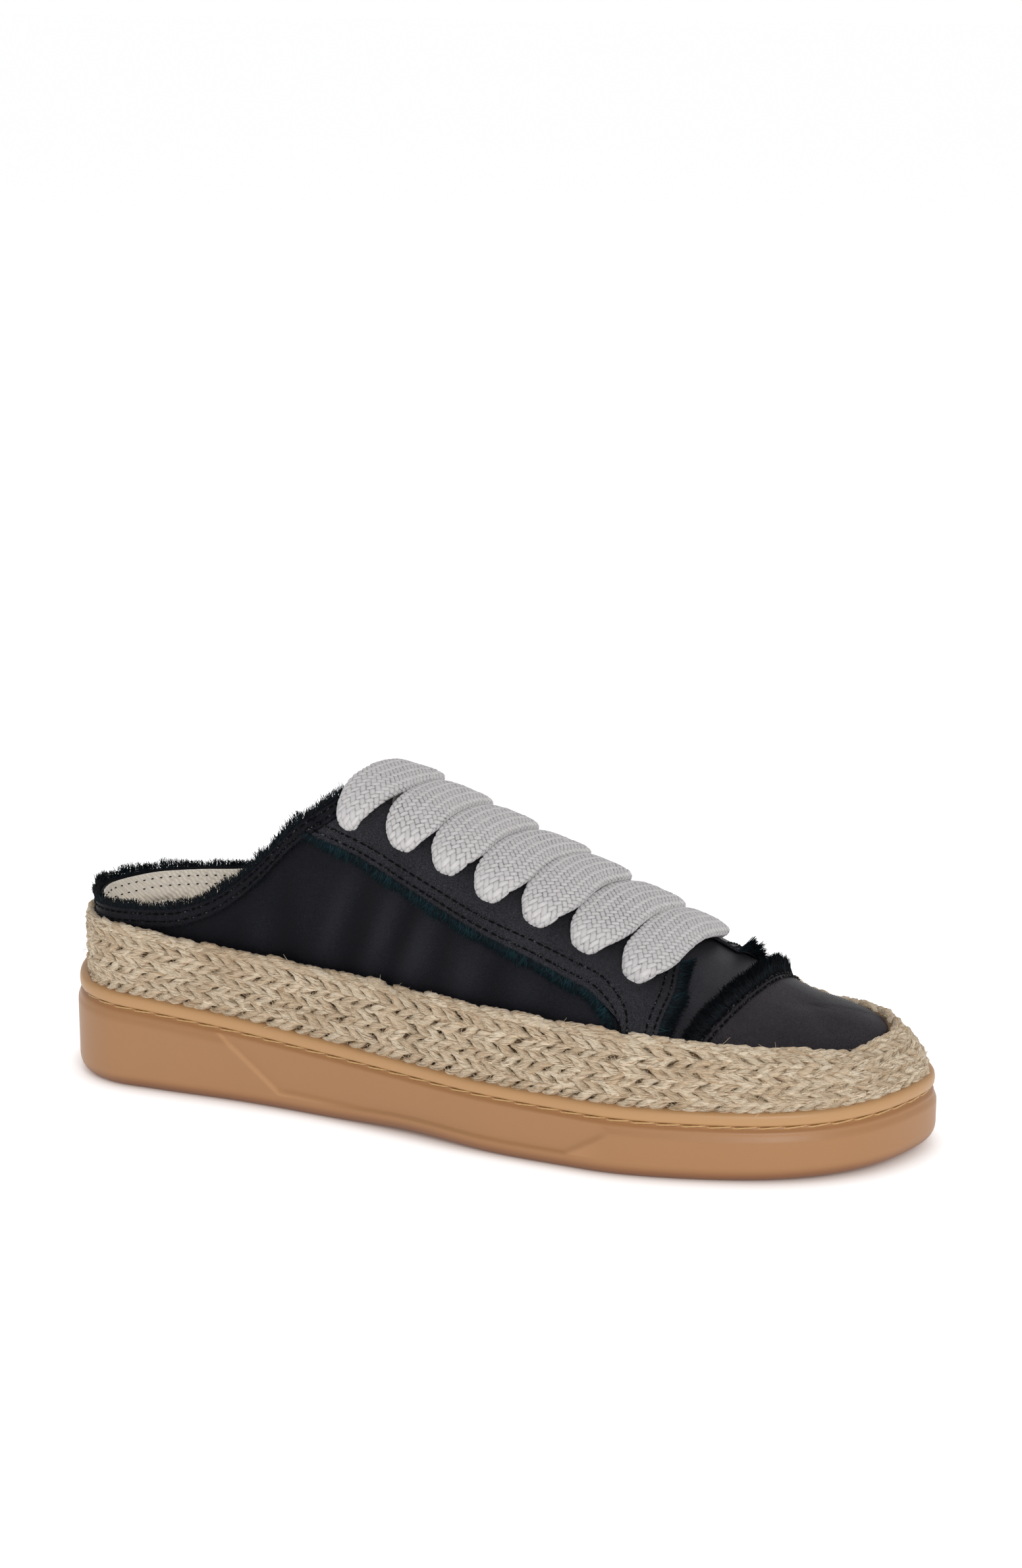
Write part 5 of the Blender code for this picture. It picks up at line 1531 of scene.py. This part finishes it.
lace_braid = Finish("lace_braid", {"Roughness": 0.72, "Specular IOR Level": 0.3, "Sheen Weight": 0.15})
lay = lace_braid.node("CombineXYZ", {}, {0: lace_braid.field("run") * 1.2,
                                         1: lace_braid.field("turn") * 9.0,
                                         2: lace_braid.field("tint") * 30.0})
filament = lace_braid.noise(2.2, 3.0, lay)
tone = lace_braid.blend(filament * 0.4 + lace_braid.field("tint") * 0.45, LACE_WHITE, LACE_SHADED_GREY)
# Painted shade: each float darkens towards its ends, where it dives under its neighbours.
lace_braid.feed("Base Color", lace_braid.blend(lace_braid.field("dip") * 0.8, tone, LACE_DIP_SHADE))
lace_braid.bump(filament, 0.00016)
lace_core = Finish("lace_core", {"Roughness": 0.9, "Specular IOR Level": 0.1})
lace_core.feed("Base Color", lace_core.blend(lace_core.noise(900.0), LACE_CORE_SHADE_DEEP, LACE_CORE_SHADE_LIGHT))


def lace_piece(name, parts, finish, replaces=()):
    points, faces, fields = joined(parts)
    weld(piece(name, points, faces, finish, replaces=replaces, fields=fields), 0)


def shrunk_tube(grid, normal, inset, rows, columns):
    """The plain tube under the floats, closed at both ends."""
    i = np.linspace(0, grid.shape[0] - 1, rows)[:, None] * np.ones((1, columns))
    j = np.linspace(0, grid.shape[1] - 1, columns + 1)[None, :-1] * np.ones((rows, 1))
    points = read_grid(grid, i, j) - read_grid(normal, i, j) * inset
    ends = np.stack((np.arange(columns), np.arange(columns)[::-1] + (rows - 1) * columns))
    faces = [grid_faces(rows, columns, close_columns=True), ends]
    return points, faces, {"tint": np.zeros(points.shape[:-1])}


def swelling(t):
    """Rises from 0 to 1, fast at first."""
    return 1 - (1 - np.clip(t, 0.0, 1.0)) ** 2


outer_holes, inner_holes = eyelets(LATERAL), eyelets(MEDIAL)
tip = math.radians(DIVE_TURN) * DIVE_RADIUS
returns = []
for bar, (toe_half, heel_half, tip_half, toe_spread, bar_lift) in enumerate(BARS):
    start, end = outer_holes[bar], inner_holes[bar]
    runs = (dive(start, np.arange(-DIVE_TURN, DIVE_TURN + 1, 15)),
            crossing(start, end, bar_lift, LACE_ARCH, np.linspace(0.085, 0.915, 30)),
            dive(end, np.arange(DIVE_TURN, -DIVE_TURN - 1, -15)))
    points, up, at = even(*(np.concatenate(parts) for parts in zip(*runs)), 0.8)
    inner = swelling((at[-1] - tip - at) / LACE_SPREAD_INNER)
    toe, heel = swelling((at - tip) / toe_spread), swelling((at - tip) / LACE_SPREAD_HEEL)
    spread = np.stack(((toe_half - tip_half) * toe, (heel_half - tip_half) * heel ** 0.85))
    half = tip_half + spread * inner ** 0.6
    thick = LACE_THICK * (0.86 + 0.14 * heel * inner)
    grid, normal, half_round = braid_surface(points, up, half, thick, LACE_TILT)
    number = str(bar + 1)
    lace_piece("lace_bar_" + number, [floats(grid, normal, half_round, at, half)], lace_braid, ("lace",))
    lace_piece("lace_core_" + number, [shrunk_tube(grid, normal, CORE_INSET, *CORE_GRID)], lace_core)
    if bar + 1 < len(BARS):
        points, up = crossing(end, outer_holes[bar + 1], LACE_UNDER, 0.0, np.linspace(0.06, 0.94, 26))
        flat, thick = np.full((2, len(points)), RETURN_HALF), np.full(len(points), RETURN_THICK)
        grid, normal, _ = braid_surface(points, up, flat, thick, 0.0)
        returns.append(shrunk_tube(grid, normal, 0.0, *RETURN_GRID))
lace_piece("lace_returns", returns, lace_core)
